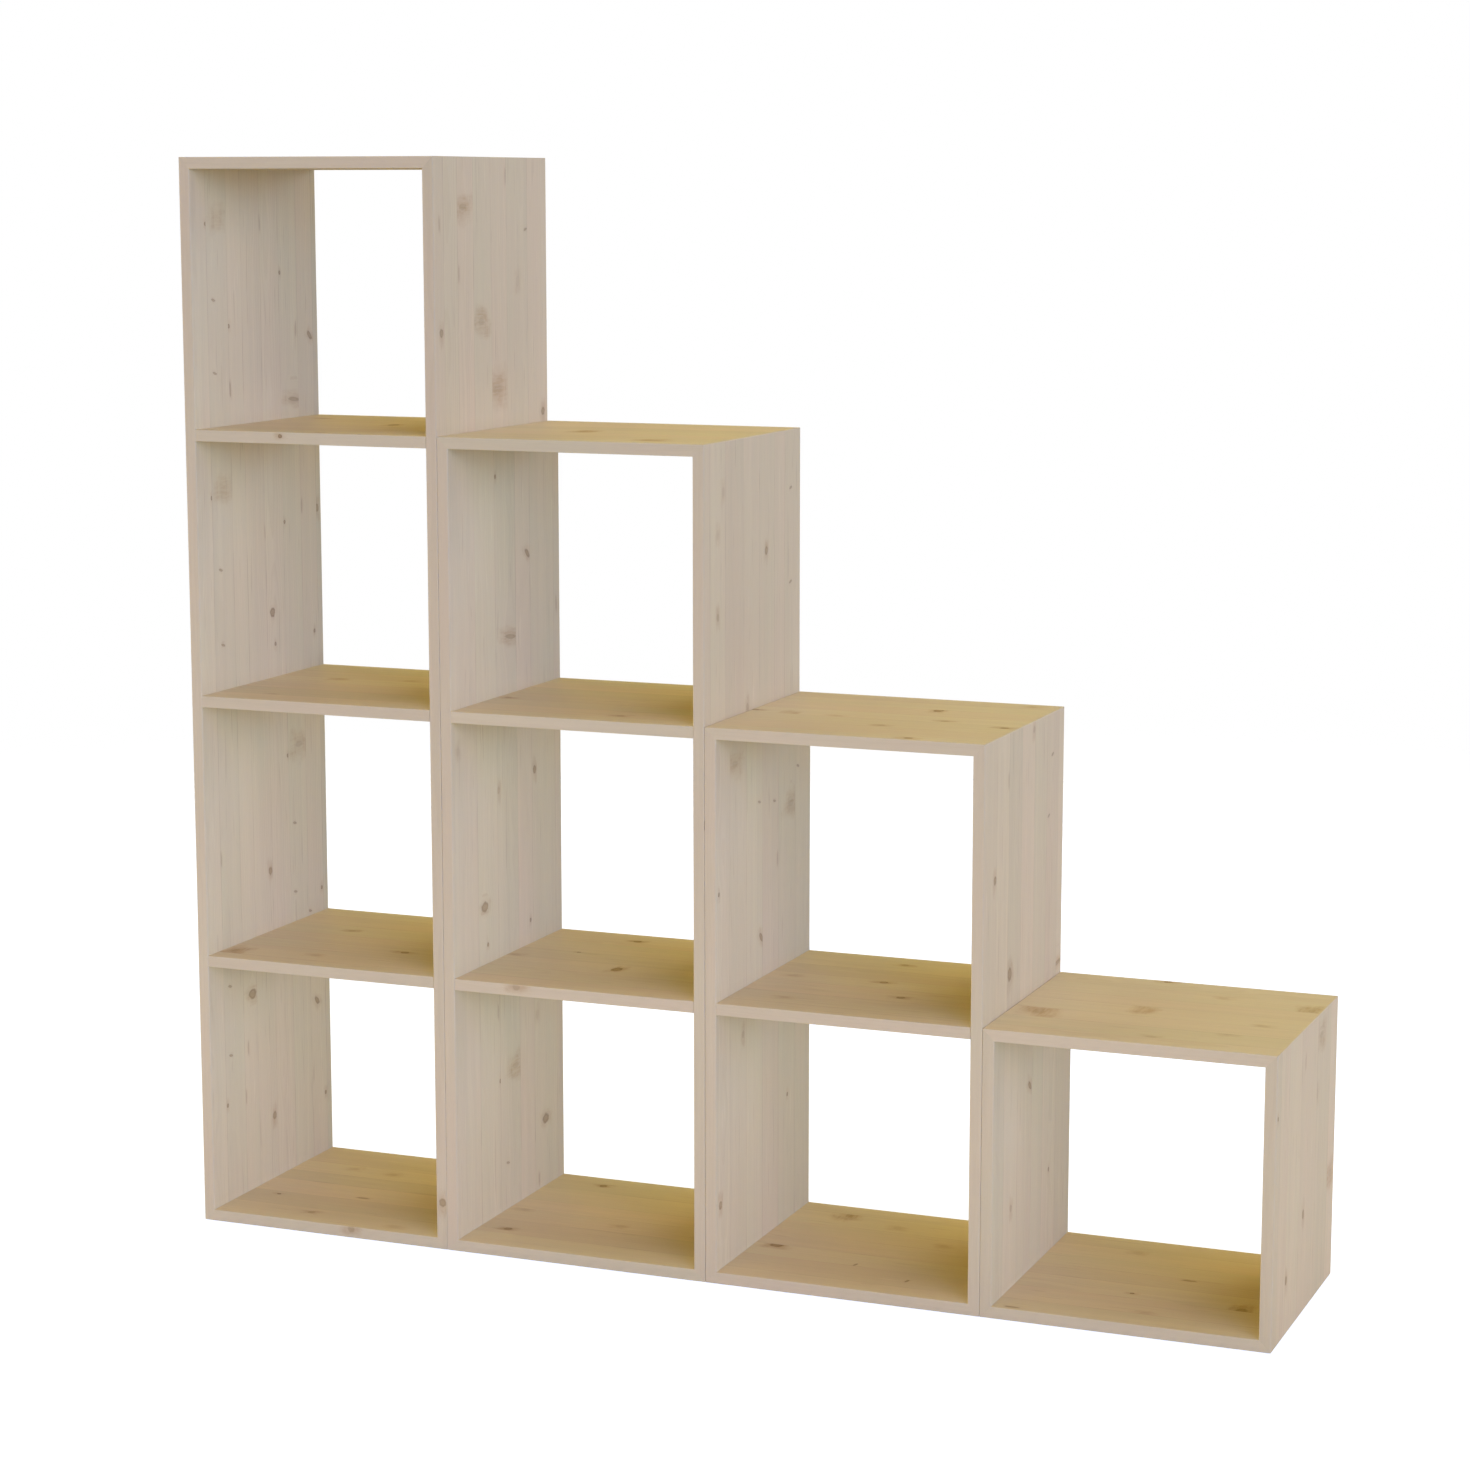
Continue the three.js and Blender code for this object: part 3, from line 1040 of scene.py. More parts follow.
def fibre_group():
    """Fibres, broad streaks, short dark flecks and long hairlines, dark with a pale line beside
    them, that run along X. Places are in millimetres."""
    wiring, given, out = new_group(
        "Wood Fibres",
        {
            "Place": (VECTOR, (0, 0, 0)),
            "Seed": (FLOAT, 0.0),
            "Fibre Width": (FLOAT, 0.8),
            "Streak Width": (FLOAT, 14.0),
            "Line Width": (FLOAT, 4.0),
            "Line Shift": (FLOAT, 1.8),
        },
        {
            "Fibre": FLOAT, "Grain": FLOAT, "Streak": FLOAT, "Fleck": FLOAT,
            "Dark Line": FLOAT, "Pale Line": FLOAT,
        },
    )
    seed = wiring.join(wiring.times(given["Seed"], 3.1), given["Seed"], given["Seed"])

    def drawn_out(squeeze, width, detail, roughness=0.5, shift=0.0):
        """Noise of that width across the grain, longer along it by one over the squeeze."""
        across = wiring.math("DIVIDE", 1.0, width)
        scale = wiring.join(wiring.times(across, squeeze), across, across)
        place = wiring.vector("ADD", given["Place"], wiring.join(0.0, shift, shift))
        place = wiring.vector("ADD", wiring.vector("MULTIPLY", place, scale), seed)
        return wiring.noise(place, detail, roughness)

    width = given["Fibre Width"]
    wiring.feed(out["Fibre"], drawn_out(0.028, width, detail=4, roughness=0.65))
    wiring.feed(out["Grain"], drawn_out(0.12, wiring.times(width, 4.0), detail=3, roughness=0.6))
    wiring.feed(out["Streak"], drawn_out(0.035, given["Streak Width"], detail=4, roughness=0.55))
    fleck = drawn_out(0.05, wiring.times(width, 0.55), detail=1)
    wiring.feed(out["Fleck"], wiring.step(fleck, 0.68, 0.78))
    for name, shift in (("Dark Line", 0.0), ("Pale Line", given["Line Shift"])):
        line = drawn_out(0.045, given["Line Width"], detail=1, shift=shift)
        wiring.feed(out[name], wiring.step(line, 0.68, 0.75))


def ring_group():
    """Annual rings round a heart that lies beside or under the board. Places in millimetres."""
    wiring, given, out = new_group(
        "Annual Rings",
        {
            "Place": (VECTOR, (0, 0, 0)),
            "Heart": (VECTOR, (0, 0, -30)),
            "Ring Gap": (FLOAT, 3.0),
            "Push": (VECTOR, (0, 0, 0)),
            "Wander": (FLOAT, 9.0),
            "Ripple": (FLOAT, 1.1),
        },
        {"Late Wood": FLOAT, "Ring Tone": FLOAT},
    )
    seed, heart_y, heart_z = wiring.split(given["Heart"])
    x, y, z = wiring.split(wiring.vector("ADD", given["Place"], given["Push"]))

    def drift(lengthwise, crosswise):
        """Noise from -0.5 to 0.5, at those rates per millimetre along and across the grain."""
        deep = wiring.plus(seed, wiring.times(z, crosswise))
        place = wiring.join(wiring.times(x, lengthwise), wiring.times(y, crosswise), deep)
        return wiring.minus(wiring.noise(place, detail=2), 0.5)

    across = wiring.minus(y, heart_y)
    below = wiring.minus(z, heart_z)
    squares = wiring.plus(wiring.times(across, across), wiring.times(below, below))
    radius = wiring.math("SQRT", squares)
    radius = wiring.times_plus(drift(0.0045, 0.016), wiring.times(given["Wander"], 2.0), radius)
    radius = wiring.times_plus(drift(0.035, 0.14), given["Ripple"], radius)
    count = wiring.math("DIVIDE", radius, given["Ring Gap"])
    uneven = wiring.noise(wiring.join(wiring.times(count, 0.45), seed, 0.0), detail=1)
    count = wiring.times_plus(uneven, 1.6, count)
    part = wiring.math("FRACT", count)
    # Each ring darkens slowly and ends at once
    late = wiring.times(wiring.step(part, 0.25, 0.88), wiring.step(part, 1.0, 0.93))
    ring_tone = wiring.chance(wiring.join(wiring.math("FLOOR", count), seed, 0.0))
    wiring.feed(out["Late Wood"], wiring.times(late, wiring.between(ring_tone, 0.4, 1.0)))
    wiring.feed(out["Ring Tone"], ring_tone)


def knot_group():
    """One knot: its heart, dark rim, own rings and the stained wood round it, and how it pushes
    the grain aside."""
    wiring, given, out = new_group(
        "Knot",
        {
            "Place": (VECTOR, (0, 0, 0)),
            "Knot Place": (VECTOR, (0, 0, 1)),
            "Knot Heart": (VECTOR, (1, 1, 0)),
            "Knot Halo": (VECTOR, (1, 1, 0)),
            "Knot Look": (VECTOR, (0, 0, 0)),
            "On Edge": (FLOAT, 0.0),
        },
        {"Heart": FLOAT, "Rim": FLOAT, "Halo": FLOAT, "Rings": FLOAT, "Push": VECTOR},
    )
    x, y, z = wiring.split(given["Place"])
    knot_x, knot_across, reach = wiring.split(given["Knot Place"])
    radius, stretch, depth = wiring.split(given["Knot Heart"])
    halo_radius, halo_stretch, stain = wiring.split(given["Knot Halo"])
    tilt, seed = wiring.split(given["Knot Look"])[:2]
    # On an edge, the way across is through the board's thickness
    across = wiring.times_plus(wiring.minus(z, y), given["On Edge"], y)
    dx = wiring.minus(x, knot_x)
    dy = wiring.minus(across, knot_across)
    turned = wiring.add(
        "ShaderNodeVectorRotate",
        {"Vector": wiring.join(dx, dy, 0.0), "Angle": tilt},
        rotation_type="Z_AXIS",
    ).outputs[0]
    along, side = wiring.split(turned)[:2]

    def distance(size, longer, wobble, squareness):
        """Share of the way from the middle to the rim of an uneven oval. It is round at a
        squareness of 2 and has flatter sides above that."""
        u = wiring.math("DIVIDE", along, wiring.times(size, longer))
        v = wiring.math("DIVIDE", side, size)
        uneven = wiring.minus(wiring.noise(wiring.join(u, v, seed), detail=3, roughness=0.6), 0.5)
        powers = [wiring.math("POWER", wiring.math("ABSOLUTE", part), squareness) for part in (u, v)]
        far = wiring.math("POWER", wiring.plus(*powers), 1 / squareness)
        return wiring.times_plus(uneven, wobble, far)

    fade = wiring.step(wiring.math("ABSOLUTE", dx), reach, wiring.times(reach, 0.55))
    shown = wiring.times(depth, fade)
    from_heart = distance(radius, stretch, wobble=0.9, squareness=2.0)
    wiring.feed(out["Heart"], wiring.times(shown, wiring.step(from_heart, 1.3, 0.5)))
    rim = wiring.times(wiring.step(from_heart, 0.5, 0.85), wiring.step(from_heart, 1.3, 0.9))
    wiring.feed(out["Rim"], wiring.times(shown, depth, rim))
    rings = wiring.math("SINE", wiring.times(from_heart, 17.0))
    wiring.feed(out["Rings"], wiring.times_plus(rings, 0.5, 0.5))

    from_middle = distance(halo_radius, halo_stretch, wobble=1.6, squareness=3.0)
    halo = wiring.times(stain, fade, wiring.step(from_middle, 1.15, 0.2))
    # A knot that was cut lengthwise is wider than it is long, and its own lines run across the board
    own_place = wiring.join(wiring.times(along, 0.3), wiring.times(side, 0.04), seed)
    pale = wiring.step(wiring.noise(own_place, detail=3, roughness=0.6), 0.58, 0.4)
    pale = wiring.times(pale, wiring.step(halo_stretch, 1.0, 0.8))
    wiring.feed(out["Halo"], wiring.times(halo, wiring.between(pale, 1.0, 0.64)))

    # The grain that would run through the knot is pushed out round it
    size = wiring.math("MAXIMUM", radius, wiring.times(halo_radius, 0.3))
    far = wiring.math("DIVIDE", dx, wiring.times(size, 2.8))
    bulge = wiring.math("EXPONENT", wiring.times(far, far, -1.0))
    bulge = wiring.times(bulge, size, fade, wiring.times_plus(depth, 0.9, stain))
    spread = wiring.minus(wiring.times(dy, dy), wiring.times(bulge, bulge))
    spread = wiring.math("SQRT", wiring.math("MAXIMUM", spread, 0.0))
    push = wiring.times_plus(wiring.math("SIGN", dy), spread, wiring.times(dy, -1.0))
    edge_push = wiring.times(push, given["On Edge"])
    wiring.feed(out["Push"], wiring.join(0.0, wiring.minus(push, edge_push), edge_push))


def rubbing_and_highlight_group():
    """Where the long edges and the mitre tips of a board are pale, from rubbed wear and a painted highlight
    along them. Places in millimetres.
    """
    wiring, given, out = new_group(
        "Edge Wear",
        {
            "Place": (VECTOR, (0, 0, 0)),
            "Half Width": (FLOAT, 165.0),
            "Thickness": (FLOAT, 15.0),
            "Half Length": (FLOAT, 1000.0),
            "Reach": (FLOAT, 2.4),
        },
        {"Wear": FLOAT},
    )
    x, y, z = wiring.split(given["Place"])
    from_side = wiring.minus(given["Half Width"], wiring.math("ABSOLUTE", y))
    from_outer = wiring.minus(given["Thickness"], z)
    from_tip = wiring.minus(given["Half Length"], wiring.math("ABSOLUTE", x))
    from_face = wiring.math("MINIMUM", z, from_outer)
    from_edge = wiring.math("MAXIMUM", from_side, from_face)
    from_point = wiring.math("MAXIMUM", from_tip, from_outer)
    worn_and_highlit = wiring.noise(wiring.vector("MULTIPLY", given["Place"], (0.05, 0.4, 0.4)), detail=3)
    distance = wiring.times_plus(worn_and_highlit, 2.0, wiring.math("MINIMUM", from_edge, from_point))
    wiring.feed(out["Wear"], wiring.step(distance, wiring.plus(given["Reach"], 1.0), 1.0))


# Woods


def new_material(name):
    material = bpy.data.materials.new(name)
    material.use_nodes = True
    return material, Wiring(material.node_tree)


class Spruce:
    """The parts of the spruce material, which reads each face's stave and knot off the mesh."""

    def __init__(self, wood, board):
        self.wood = wood
        self.material, self.wiring = new_material("knotty_spruce")
        wiring = self.wiring
        self.place = wiring.place_in_mm()
        self.tone, self.hue, ring_gap = wiring.split(wiring.attribute("stave_tone"))
        self.grain = wiring.attribute("stave_grain")
        self.seed = wiring.split(self.grain)[0]
        self.stave_low, self.stave_high, half_length = wiring.split(wiring.attribute("stave_span"))
        on_edge = wiring.attribute("on_edge", "Fac")
        self.clear_face = wiring.minus(1.0, on_edge)
        knot_look = wiring.attribute("knot_look")
        self.second_stain = wiring.split(knot_look)[2]
        self.knot = wiring.group(
            "Knot",
            Place=self.place,
            Knot_Place=wiring.attribute("knot_place"),
            Knot_Heart=wiring.attribute("knot_heart"),
            Knot_Halo=wiring.attribute("knot_halo"),
            Knot_Look=knot_look,
            On_Edge=on_edge,
        )
        self.rings = wiring.group(
            "Annual Rings",
            Place=self.place,
            Heart=self.grain,
            # The narrow edges show fewer rings than the faces
            Ring_Gap=wiring.times(ring_gap, wiring.plus(on_edge, 1.0)),
            Push=self.knot["Push"],
        )
        pushed = wiring.vector("ADD", self.place, self.knot["Push"])
        self.fibres = wiring.group("Wood Fibres", Place=pushed, Seed=self.seed)
        # The pale band along the edges and tips: rubbed wear and a painted highlight
        self.wear = wiring.group(
            "Edge Wear",
            Place=self.place,
            Half_Width=board.width / 2 / MM,
            Thickness=board.thickness / MM,
            Half_Length=half_length,
        )

    def clear_wood(self):
        """Rings, streaks and fibres, in the tone and the hue of each stave."""
        wiring = self.wiring
        ring_strength = wiring.between(wiring.chance(self.grain), 0.2, 1.0)
        late = wiring.times(self.rings["Late Wood"], ring_strength)
        late = wiring.times(late, wiring.between(self.clear_face, 0.6, 1.0))
        late = wiring.times(late, self.wood.ring_contrast)
        colour = wiring.blend(late, self.wood.early_wood, self.wood.late_wood)
        shade = wiring.times(
            wiring.times_plus(self.tone, self.wood.stave_contrast, 1.0),
            wiring.around(self.fibres["Streak"], 0.06),
            wiring.around(self.fibres["Fibre"], 0.06),
            wiring.around(self.rings["Ring Tone"], 0.01),
        )
        colour = wiring.tint(1.0, colour, shade)
        cloud_place = wiring.vector("MULTIPLY", self.place, (0.007, 0.022, 0.022))
        cloud_place = wiring.vector("ADD", cloud_place, wiring.join(self.seed, self.seed, self.seed))
        cloud = wiring.minus(wiring.noise(cloud_place, detail=2), 0.5)
        warmth = wiring.times_plus(cloud, 3.0, wiring.times(self.hue, 0.6))
        cast = [wiring.times_plus(warmth, change, 1.0) for change in WARM_CHANGES]
        colour = wiring.tint(1.0, colour, wiring.join(*cast))
        # The broad faces take the painted light tint of their kind of board
        return wiring.tint(self.clear_face, colour, wiring.attribute("board_tint"))

    def lined(self, colour):
        """Flecks and hairlines. The edges have only the flecks."""
        wiring = self.wiring
        colour = wiring.mark(colour, FLECK, self.fibres["Fleck"])
        for name, mark in (("Dark Line", DARK_LINE), ("Pale Line", PALE_LINE)):
            colour = wiring.mark(colour, mark, wiring.times(self.fibres[name], self.clear_face))
        return colour

    def seam(self):
        """Where two staves meet. The line between them is open in places and nearly gone in others."""
        wiring = self.wiring
        x, y = wiring.split(self.place)[:2]
        to_border = wiring.math(
            "MINIMUM", wiring.minus(y, self.stave_low), wiring.minus(self.stave_high, y)
        )
        opening = wiring.noise(wiring.join(wiring.times(x, 0.011), self.seed, 0.0), detail=2)
        opening = wiring.times(wiring.step(opening, 0.45, 0.62), self.clear_face)
        return wiring.times(wiring.step(to_border, 0.9, 0.2), wiring.between(opening, 0.15, 1.0))

    def knotted(self, colour):
        wiring = self.wiring
        wood = self.wood
        feathered = wiring.between(wiring.step(self.fibres["Grain"], 0.35, 0.62), 0.55, 1.0)
        halo = wiring.times(self.knot["Halo"], feathered)
        colour = wiring.tint(halo, colour, wood.knot_halo)
        colour = wiring.tint(wiring.times(halo, self.second_stain), colour, wood.knot_halo)
        heart = wiring.blend(self.knot["Rings"], wood.knot_heart, wood.knot_rings)
        colour = wiring.blend(self.knot["Heart"], colour, heart)
        return wiring.blend(wiring.times(self.knot["Rim"], 1.25), colour, wood.knot_rim)

    # Pale eased edges and tips: rubbed wear, and a painted highlight where they catch the light
    def worn_and_highlit(self, colour):
        share = self.wiring.times(self.wear["Wear"], self.wood.edge_wear)
        return self.wiring.blend(share, colour, self.wood.worn_and_highlit_wood)

    def height(self, seam):
        height = self.wiring.times(self.fibres["Fibre"], 0.9)
        height = self.wiring.times_plus(self.rings["Late Wood"], 0.35, height)
        height = self.wiring.times_plus(self.fibres["Fleck"], -0.3, height)
        height = self.wiring.times_plus(self.knot["Rim"], -1.3, height)
        return self.wiring.times_plus(seam, -0.5, height)

    def roughness(self):
        roughness = self.wiring.between(self.fibres["Fibre"], 0.6, 0.76)
        return self.wiring.times_plus(self.knot["Heart"], -0.12, roughness)


def spruce_material(wood, board):
    """Oiled knotty spruce, glued up from staves."""
    spruce = Spruce(wood, board)
    seam = spruce.seam()
    colour = spruce.wiring.mark(spruce.lined(spruce.clear_wood()), SEAM, seam)
    colour = spruce.worn_and_highlit(spruce.knotted(colour))
    height = spruce.height(seam)
    spruce.wiring.surface(colour, spruce.roughness(), height, gloss=0.28, relief=0.06 * MM)
    return spruce.material


def birch_ply_material(wood):
    """Birch plywood of three plies, lying flat: the middle ply runs across the other two."""
    material, wiring = new_material("birch_plywood")
    x, y, z = wiring.split(wiring.place_in_mm())
    stock_low, stock_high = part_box(STOCK_TONGUE)
    half_ply = (stock_high.z - stock_low.z) / MM / PLIES / 2
    layer = wiring.math("ABSOLUTE", z)
    core = wiring.step(layer, half_ply + 0.05, half_ply - 0.05)
    outer = wiring.group("Wood Fibres", Place=wiring.join(y, x, z), Seed=4.0)
    inner = wiring.group("Wood Fibres", Place=wiring.join(x, y, z), Seed=9.0)
    difference = wiring.minus(inner["Fibre"], outer["Fibre"])
    fibre = wiring.times_plus(difference, core, outer["Fibre"])
    colour = wiring.tint(1.0, wood.birch, wiring.around(fibre, 0.16))
    colour = wiring.tint(1.0, colour, wiring.around(outer["Streak"], 0.12))
    colour = wiring.mark(colour, CORE_PLY, core)
    glue = wiring.step(wiring.math("ABSOLUTE", wiring.minus(layer, half_ply)), 0.14, 0.05)
    colour = wiring.mark(colour, PLY_GLUE, glue)
    roughness = wiring.between(fibre, 0.6, 0.75)
    height = wiring.times_plus(glue, -0.5, fibre)
    wiring.surface(colour, roughness, height, gloss=0.3, relief=0.08 * MM)
    return material


def beech_material(wood):
    """Bare beech, with the short dark rays that mark it."""
    material, wiring = new_material("bare_beech")
    place = wiring.place_in_mm()
    fibres = wiring.group("Wood Fibres", Place=place, Seed=2.0, Fibre_Width=0.5)
    rings = wiring.group("Annual Rings", Place=place, Heart=(3.0, 2.0, -20.0), Ring_Gap=1.8, Wander=2.0)
    colour = wiring.tint(1.0, wood.beech, wiring.around(fibres["Fibre"], 0.14))
    colour = wiring.mark(colour, BEECH_RING, rings["Late Wood"])
    colour = wiring.mark(colour, BEECH_RAY, fibres["Fleck"])
    roughness = wiring.between(fibres["Fibre"], 0.5, 0.65)
    wiring.surface(colour, roughness, fibres["Fibre"], gloss=0.35, relief=0.06 * MM)
    return material


# The studio


def soft_sun(lamp, studio):
    """A broad distant lamp."""
    light = bpy.data.lights.new(lamp.name, "SUN")
    brightest = max(lamp.strength)
    light.color = [strength / brightest for strength in lamp.strength]
    light.energy = brightest * studio.lamp_power
    light.angle = studio.lamp_spread
    sun = bpy.data.objects.new(lamp.name, light)
    azimuth = math.radians(lamp.azimuth)
    elevation = math.radians(lamp.elevation)
    source = Vector((
        math.sin(azimuth) * math.cos(elevation),
        -math.cos(azimuth) * math.cos(elevation),
        math.sin(elevation),
    ))
    sun.rotation_mode = "QUATERNION"
    sun.rotation_quaternion = source.to_track_quat("Z", "Y")
    sun.location = source * LAMP_DISTANCE
    bpy.context.scene.collection.objects.link(sun)


def studio_world():
    """A white backdrop that the camera sees and that gives no light."""
    world = bpy.data.worlds.new("studio")
    world.use_nodes = True
    wiring = Wiring(world.node_tree)
    seen = wiring.add("ShaderNodeLightPath").outputs["Is Camera Ray"]
    backdrop = wiring.add("ShaderNodeBackground", {"Color": (1, 1, 1), "Strength": seen})
    wiring.add("ShaderNodeOutputWorld", {"Surface": backdrop.outputs[0]})
    bpy.context.scene.world = world


def floor_material(studio):
    """Pale matt floor that fades out into the backdrop."""
    material, wiring = new_material("studio_floor")
    place = wiring.add("ShaderNodeTexCoord").outputs["Object"]
    flat = wiring.vector("MULTIPLY", place, (1, 1, 0))
    distance = wiring.add("ShaderNodeVectorMath", {0: flat}, operation="LENGTH").outputs["Value"]
    shade = wiring.noise(wiring.vector("MULTIPLY", place, (3, 3, 3)), detail=4)
    colour = wiring.tint(1.0, studio.floor_colour, wiring.around(shade, 0.01))
    matt = wiring.add("ShaderNodeBsdfDiffuse", {"Color": colour})
    seen = wiring.add("ShaderNodeLightPath").outputs["Is Camera Ray"]
    lift = wiring.add("ShaderNodeEmission", {"Color": studio.floor_lift, "Strength": seen})
    lit = wiring.add("ShaderNodeAddShader", {0: matt.outputs[0], 1: lift.outputs[0]})
    clear = wiring.add("ShaderNodeBsdfTransparent")
    fade = wiring.step(distance, studio.floor_radius * FLOOR_FADE_SHARE, studio.floor_radius)
    mixed = wiring.add("ShaderNodeMixShader", {0: fade, 1: lit.outputs[0], 2: clear.outputs[0]})
    wiring.add("ShaderNodeOutputMaterial", {"Surface": mixed.outputs[0]})
    return material


def build_floor(studio):
    disc = bmesh.new()
    bmesh.ops.create_circle(disc, cap_ends=True, segments=FLOOR_STEPS, radius=studio.floor_radius)
    bmesh.ops.translate(disc, verts=disc.verts, vec=DOWN * FLOOR_DROP)
    floor = piece_from(disc, "studio_floor")
    floor.data.materials.append(floor_material(studio))


def build_camera():
    data = bpy.data.cameras.new("camera")
    data.sensor_width = CAMERA_SENSOR_MM
    data.lens = CAMERA_LENS_MM
    data.clip_end = CAMERA_REACH
    camera = bpy.data.objects.new("camera", data)
    camera.location = CAMERA_PLACE
    camera.rotation_euler = [math.radians(turn) for turn in CAMERA_TURNS_DEG]
    bpy.context.scene.collection.objects.link(camera)
    bpy.context.scene.camera = camera


# Settings, operators and panel


class BoardSizes(bpy.types.PropertyGroup):
    arris_radius: FloatProperty(
        name="Edge radius",
        description="How far the long edges of the boards are eased",
        default=1.0 * MM, min=0.2 * MM, max=3 * MM, precision=4, unit="LENGTH",
    )
    arris_wander: FloatProperty(
        name="Edge wander",
        description="Share by which the edge radius varies along a board",
        default=0.25, min=0, max=0.6, subtype="FACTOR",
    )
    glue_line: FloatProperty(
        name="Glue line",
        description="Width of the glued joints between boards",
        default=0.06 * MM, min=0.02 * MM, max=0.3 * MM, precision=5, unit="LENGTH",
    )


def colour_property(name, description, default):
    return FloatVectorProperty(
        name=name, description=description, default=default, subtype="COLOR", size=3, min=0, max=1
    )


class WoodColours(bpy.types.PropertyGroup):
    early_wood: colour_property("Early wood", "Pale part of each annual ring", (0.735, 0.635, 0.435))
    late_wood: colour_property("Late wood", "Darker part of each annual ring", (0.59, 0.48, 0.29))
    knot_heart: colour_property("Knot heart", "Middle of a knot", (0.29, 0.18, 0.07))
    knot_rings: colour_property("Knot rings", "Paler rings in a knot", (0.36, 0.23, 0.11))
    knot_rim: colour_property("Knot rim", "Dark rim of a knot", (0.19, 0.1, 0.03))
    knot_halo: colour_property("Knot halo", "Tint of the wood round a knot", (0.81, 0.71, 0.6))
    # Colour of the eased edges: rubbed pale wood, with a painted highlight
    worn_and_highlit_wood: colour_property("Rubbed wood", "Eased edges, rubbed pale", (0.77, 0.68, 0.48))
    birch: colour_property("Birch", "Plywood of the loose tongues", (0.68, 0.55, 0.36))
    beech: colour_property("Beech", "Pegs between the towers", (0.58, 0.36, 0.2))
    ring_contrast: FloatProperty(
        name="Ring contrast",
        description="Strength of the annual rings",
        default=0.26, min=0, max=1, subtype="FACTOR",
    )
    stave_contrast: FloatProperty(
        name="Stave contrast",
        description="Difference between the staves",
        default=0.04, min=0, max=0.3, subtype="FACTOR",
    )
    # How pale the eased edges turn, from rubbing and a painted highlight
    edge_wear: FloatProperty(
        name="Edge wear",
        description="How pale the eased edges are rubbed",
        default=0.35, min=0, max=1, subtype="FACTOR",
    )


class StudioSettings(bpy.types.PropertyGroup):
    lamp_power: FloatProperty(
        name="Lamp power",
        description="Strength of all the lamps together",
        default=1, min=0, max=5, subtype="FACTOR",
    )
    lamp_spread: FloatProperty(
        name="Lamp spread",
        description="Angle that each lamp takes up, which softens its shadows",
        default=math.radians(28), min=0, max=math.pi, subtype="ANGLE", unit="ROTATION",
    )
    floor_colour: colour_property("Floor colour", "Pale matt floor", (0.85, 0.85, 0.85))
    floor_lift: colour_property(
        "Floor lift", "Glow that brings the floor to the backdrop's white", (0.6, 0.7, 0.85)
    )
    floor_radius: FloatProperty(
        name="Floor radius",
        description="Radius of the floor",
        default=4.5, min=1, unit="LENGTH",
    )


class BookshelfSettings(bpy.types.PropertyGroup):
    boards: PointerProperty(name="Boards", description="Sizes of the boards", type=BoardSizes)
    wood: PointerProperty(name="Wood", description="Colours of the woods", type=WoodColours)
    studio: PointerProperty(name="Studio", description="Floor and lamps", type=StudioSettings)


def build_effects():
    if "Knot" not in bpy.data.node_groups:
        for make in (fibre_group, ring_group, knot_group, rubbing_and_highlight_group):
            make()


def wood_material(name, make):
    """The material of that name, made on first use."""
    build_effects()
    return bpy.data.materials.get(name) or make()


def build_boards(context, boards):
    settings = context.scene.stepped_bookshelf
    for board in boards:
        staves = make_staves(board)
        piece = build_board(board, settings.boards, staves)
        mark_wood(piece, board, staves)
        material = wood_material("knotty_spruce", lambda: spruce_material(settings.wood, board))
        finish_piece(piece, material, "spruce", board.node)


class BOOKSHELF_OT_sides(bpy.types.Operator):
    """Build the mitred sides of every tower"""
    bl_idname = "bookshelf.sides"
    bl_label = "Sides"

    def execute(self, context):
        build_boards(context, side_boards())
        return {"FINISHED"}


class BOOKSHELF_OT_tops_and_bottoms(bpy.types.Operator):
    """Build the mitred top and bottom of every tower"""
    bl_idname = "bookshelf.tops_and_bottoms"
    bl_label = "Tops and bottoms"

    def execute(self, context):
        build_boards(context, end_boards())
        return {"FINISHED"}


class BOOKSHELF_OT_shelves(bpy.types.Operator):
    """Build the shelves between the sides"""
    bl_idname = "bookshelf.shelves"
    bl_label = "Shelves"

    def execute(self, context):
        build_boards(context, shelf_boards(context.scene.stepped_bookshelf.boards.glue_line))
        return {"FINISHED"}


class BOOKSHELF_OT_tongues(bpy.types.Operator):
    """Build the loose plywood tongues inside the joints"""
    bl_idname = "bookshelf.tongues"
    bl_label = "Tongues"

    def execute(self, context):
        wood = context.scene.stepped_bookshelf.wood
        material = wood_material("birch_plywood", lambda: birch_ply_material(wood))
        for node in tongue_nodes():
            finish_piece(build_tongue(node), material, "birch_tongue", node)
        return {"FINISHED"}


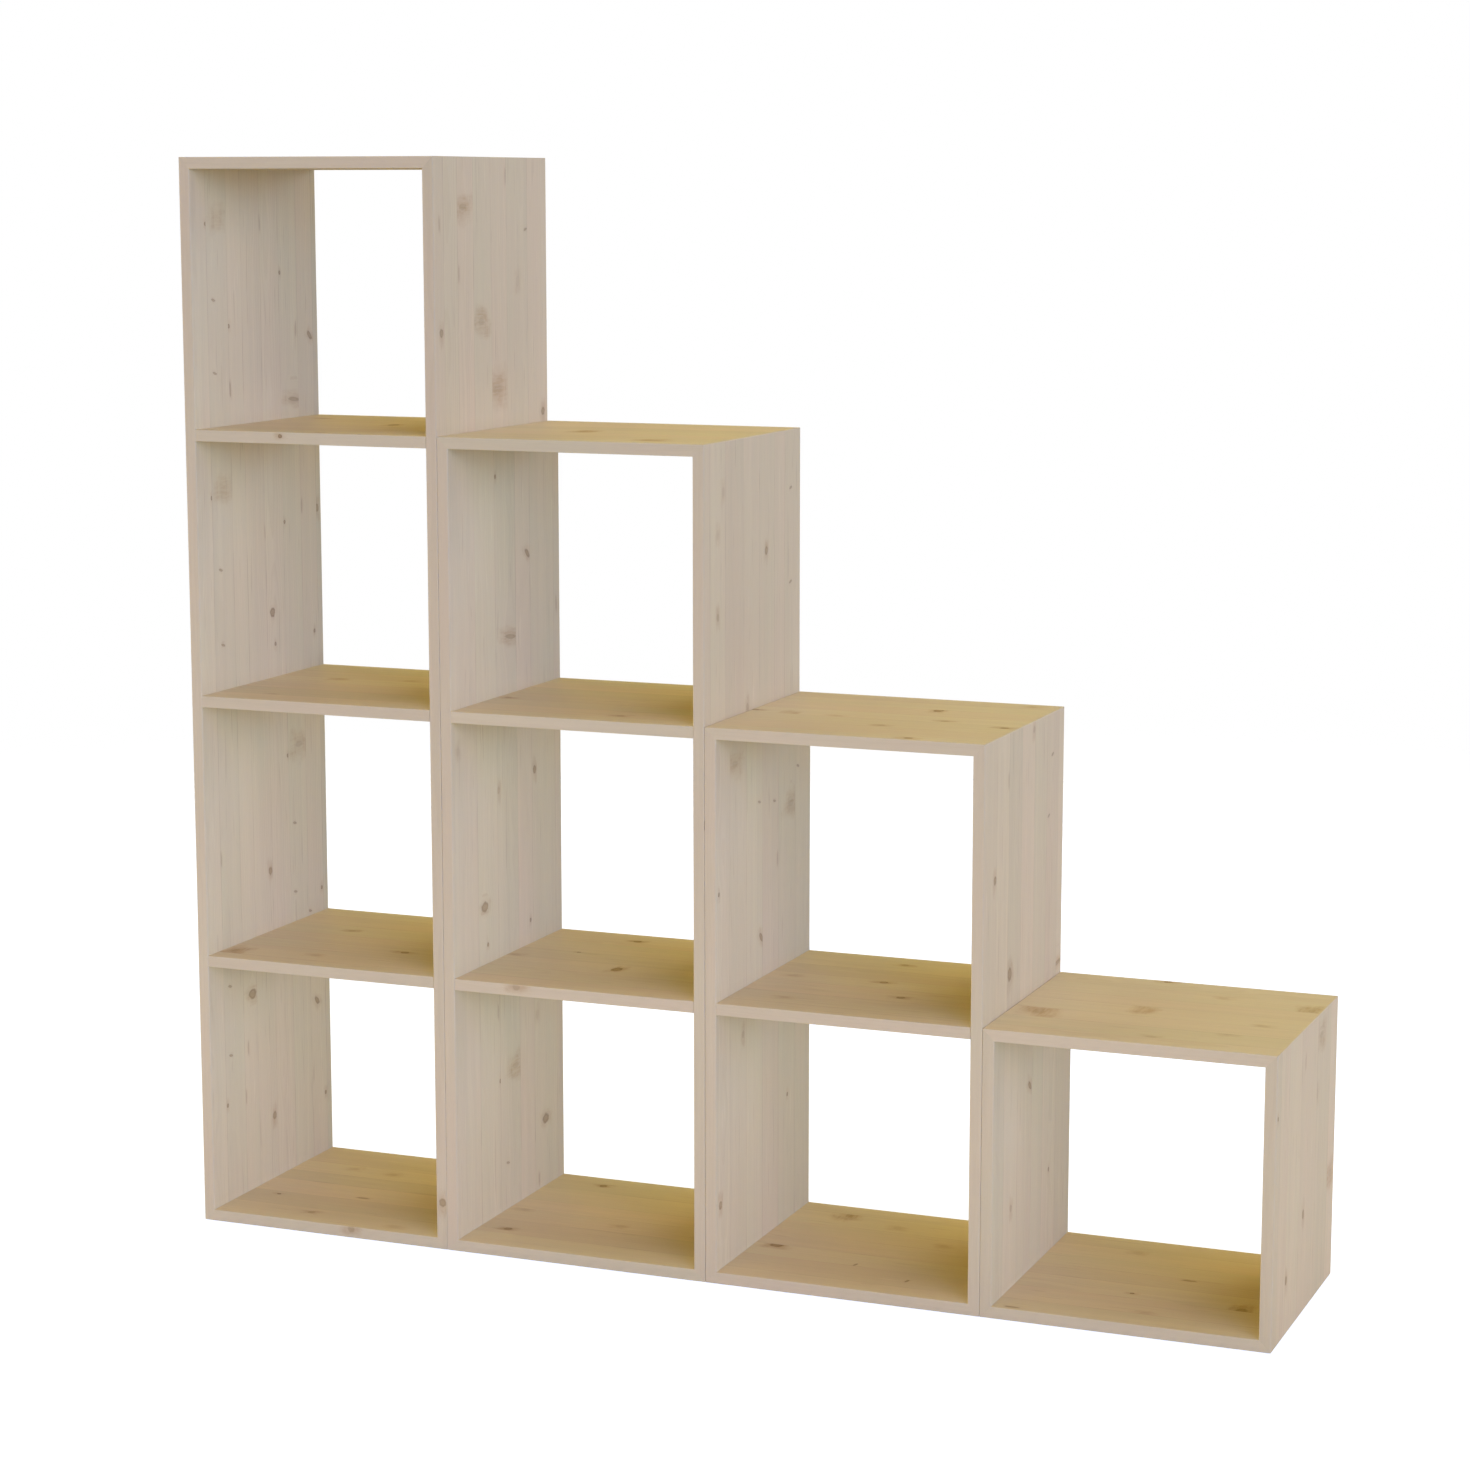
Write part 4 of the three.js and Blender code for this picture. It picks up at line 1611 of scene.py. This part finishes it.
class BOOKSHELF_OT_pegs(bpy.types.Operator):
    """Build the fluted pegs between the towers"""
    bl_idname = "bookshelf.pegs"
    bl_label = "Pegs"

    def execute(self, context):
        wood = context.scene.stepped_bookshelf.wood
        material = wood_material("bare_beech", lambda: beech_material(wood))
        for node in peg_nodes():
            finish_piece(build_peg(node), material, "beech_peg", node)
        return {"FINISHED"}


class BOOKSHELF_OT_studio(bpy.types.Operator):
    """Set up the floor, the lights and the camera"""
    bl_idname = "bookshelf.studio"
    bl_label = "Studio"

    def execute(self, context):
        studio = context.scene.stepped_bookshelf.studio
        build_camera()
        build_floor(studio)
        studio_world()
        for lamp in LAMPS:
            soft_sun(lamp, studio)
        context.scene.view_settings.view_transform = "Standard"
        return {"FINISHED"}


class BOOKSHELF_PT_panel(bpy.types.Panel):
    """Lists the pieces of the bookshelf and what can be set"""
    bl_idname = "BOOKSHELF_PT_panel"
    bl_label = "Staircase bookshelf"
    bl_space_type = "VIEW_3D"
    bl_region_type = "UI"
    bl_category = "Bookshelf"

    def draw(self, context):
        settings = context.scene.stepped_bookshelf
        for piece in PIECES:
            self.layout.operator(piece.bl_idname)
        for group in (settings.boards, settings.wood, settings.studio):
            box = self.layout.box()
            for name in group.__annotations__:
                box.prop(group, name)


PIECES = (
    BOOKSHELF_OT_studio,
    BOOKSHELF_OT_sides,
    BOOKSHELF_OT_tops_and_bottoms,
    BOOKSHELF_OT_shelves,
    BOOKSHELF_OT_tongues,
    BOOKSHELF_OT_pegs,
)
CLASSES = (BoardSizes, WoodColours, StudioSettings, BookshelfSettings, *PIECES, BOOKSHELF_PT_panel)


def register():
    for kind in CLASSES:
        bpy.utils.register_class(kind)
    bpy.types.Scene.stepped_bookshelf = PointerProperty(type=BookshelfSettings)


def unregister():
    del bpy.types.Scene.stepped_bookshelf
    for kind in reversed(CLASSES):
        bpy.utils.unregister_class(kind)


def main():
    register()
    bpy.ops.bookshelf.studio()
    bpy.ops.bookshelf.sides()
    bpy.ops.bookshelf.tops_and_bottoms()
    bpy.ops.bookshelf.shelves()
    bpy.ops.bookshelf.tongues()
    bpy.ops.bookshelf.pegs()


if __name__ == "__main__":
    main()
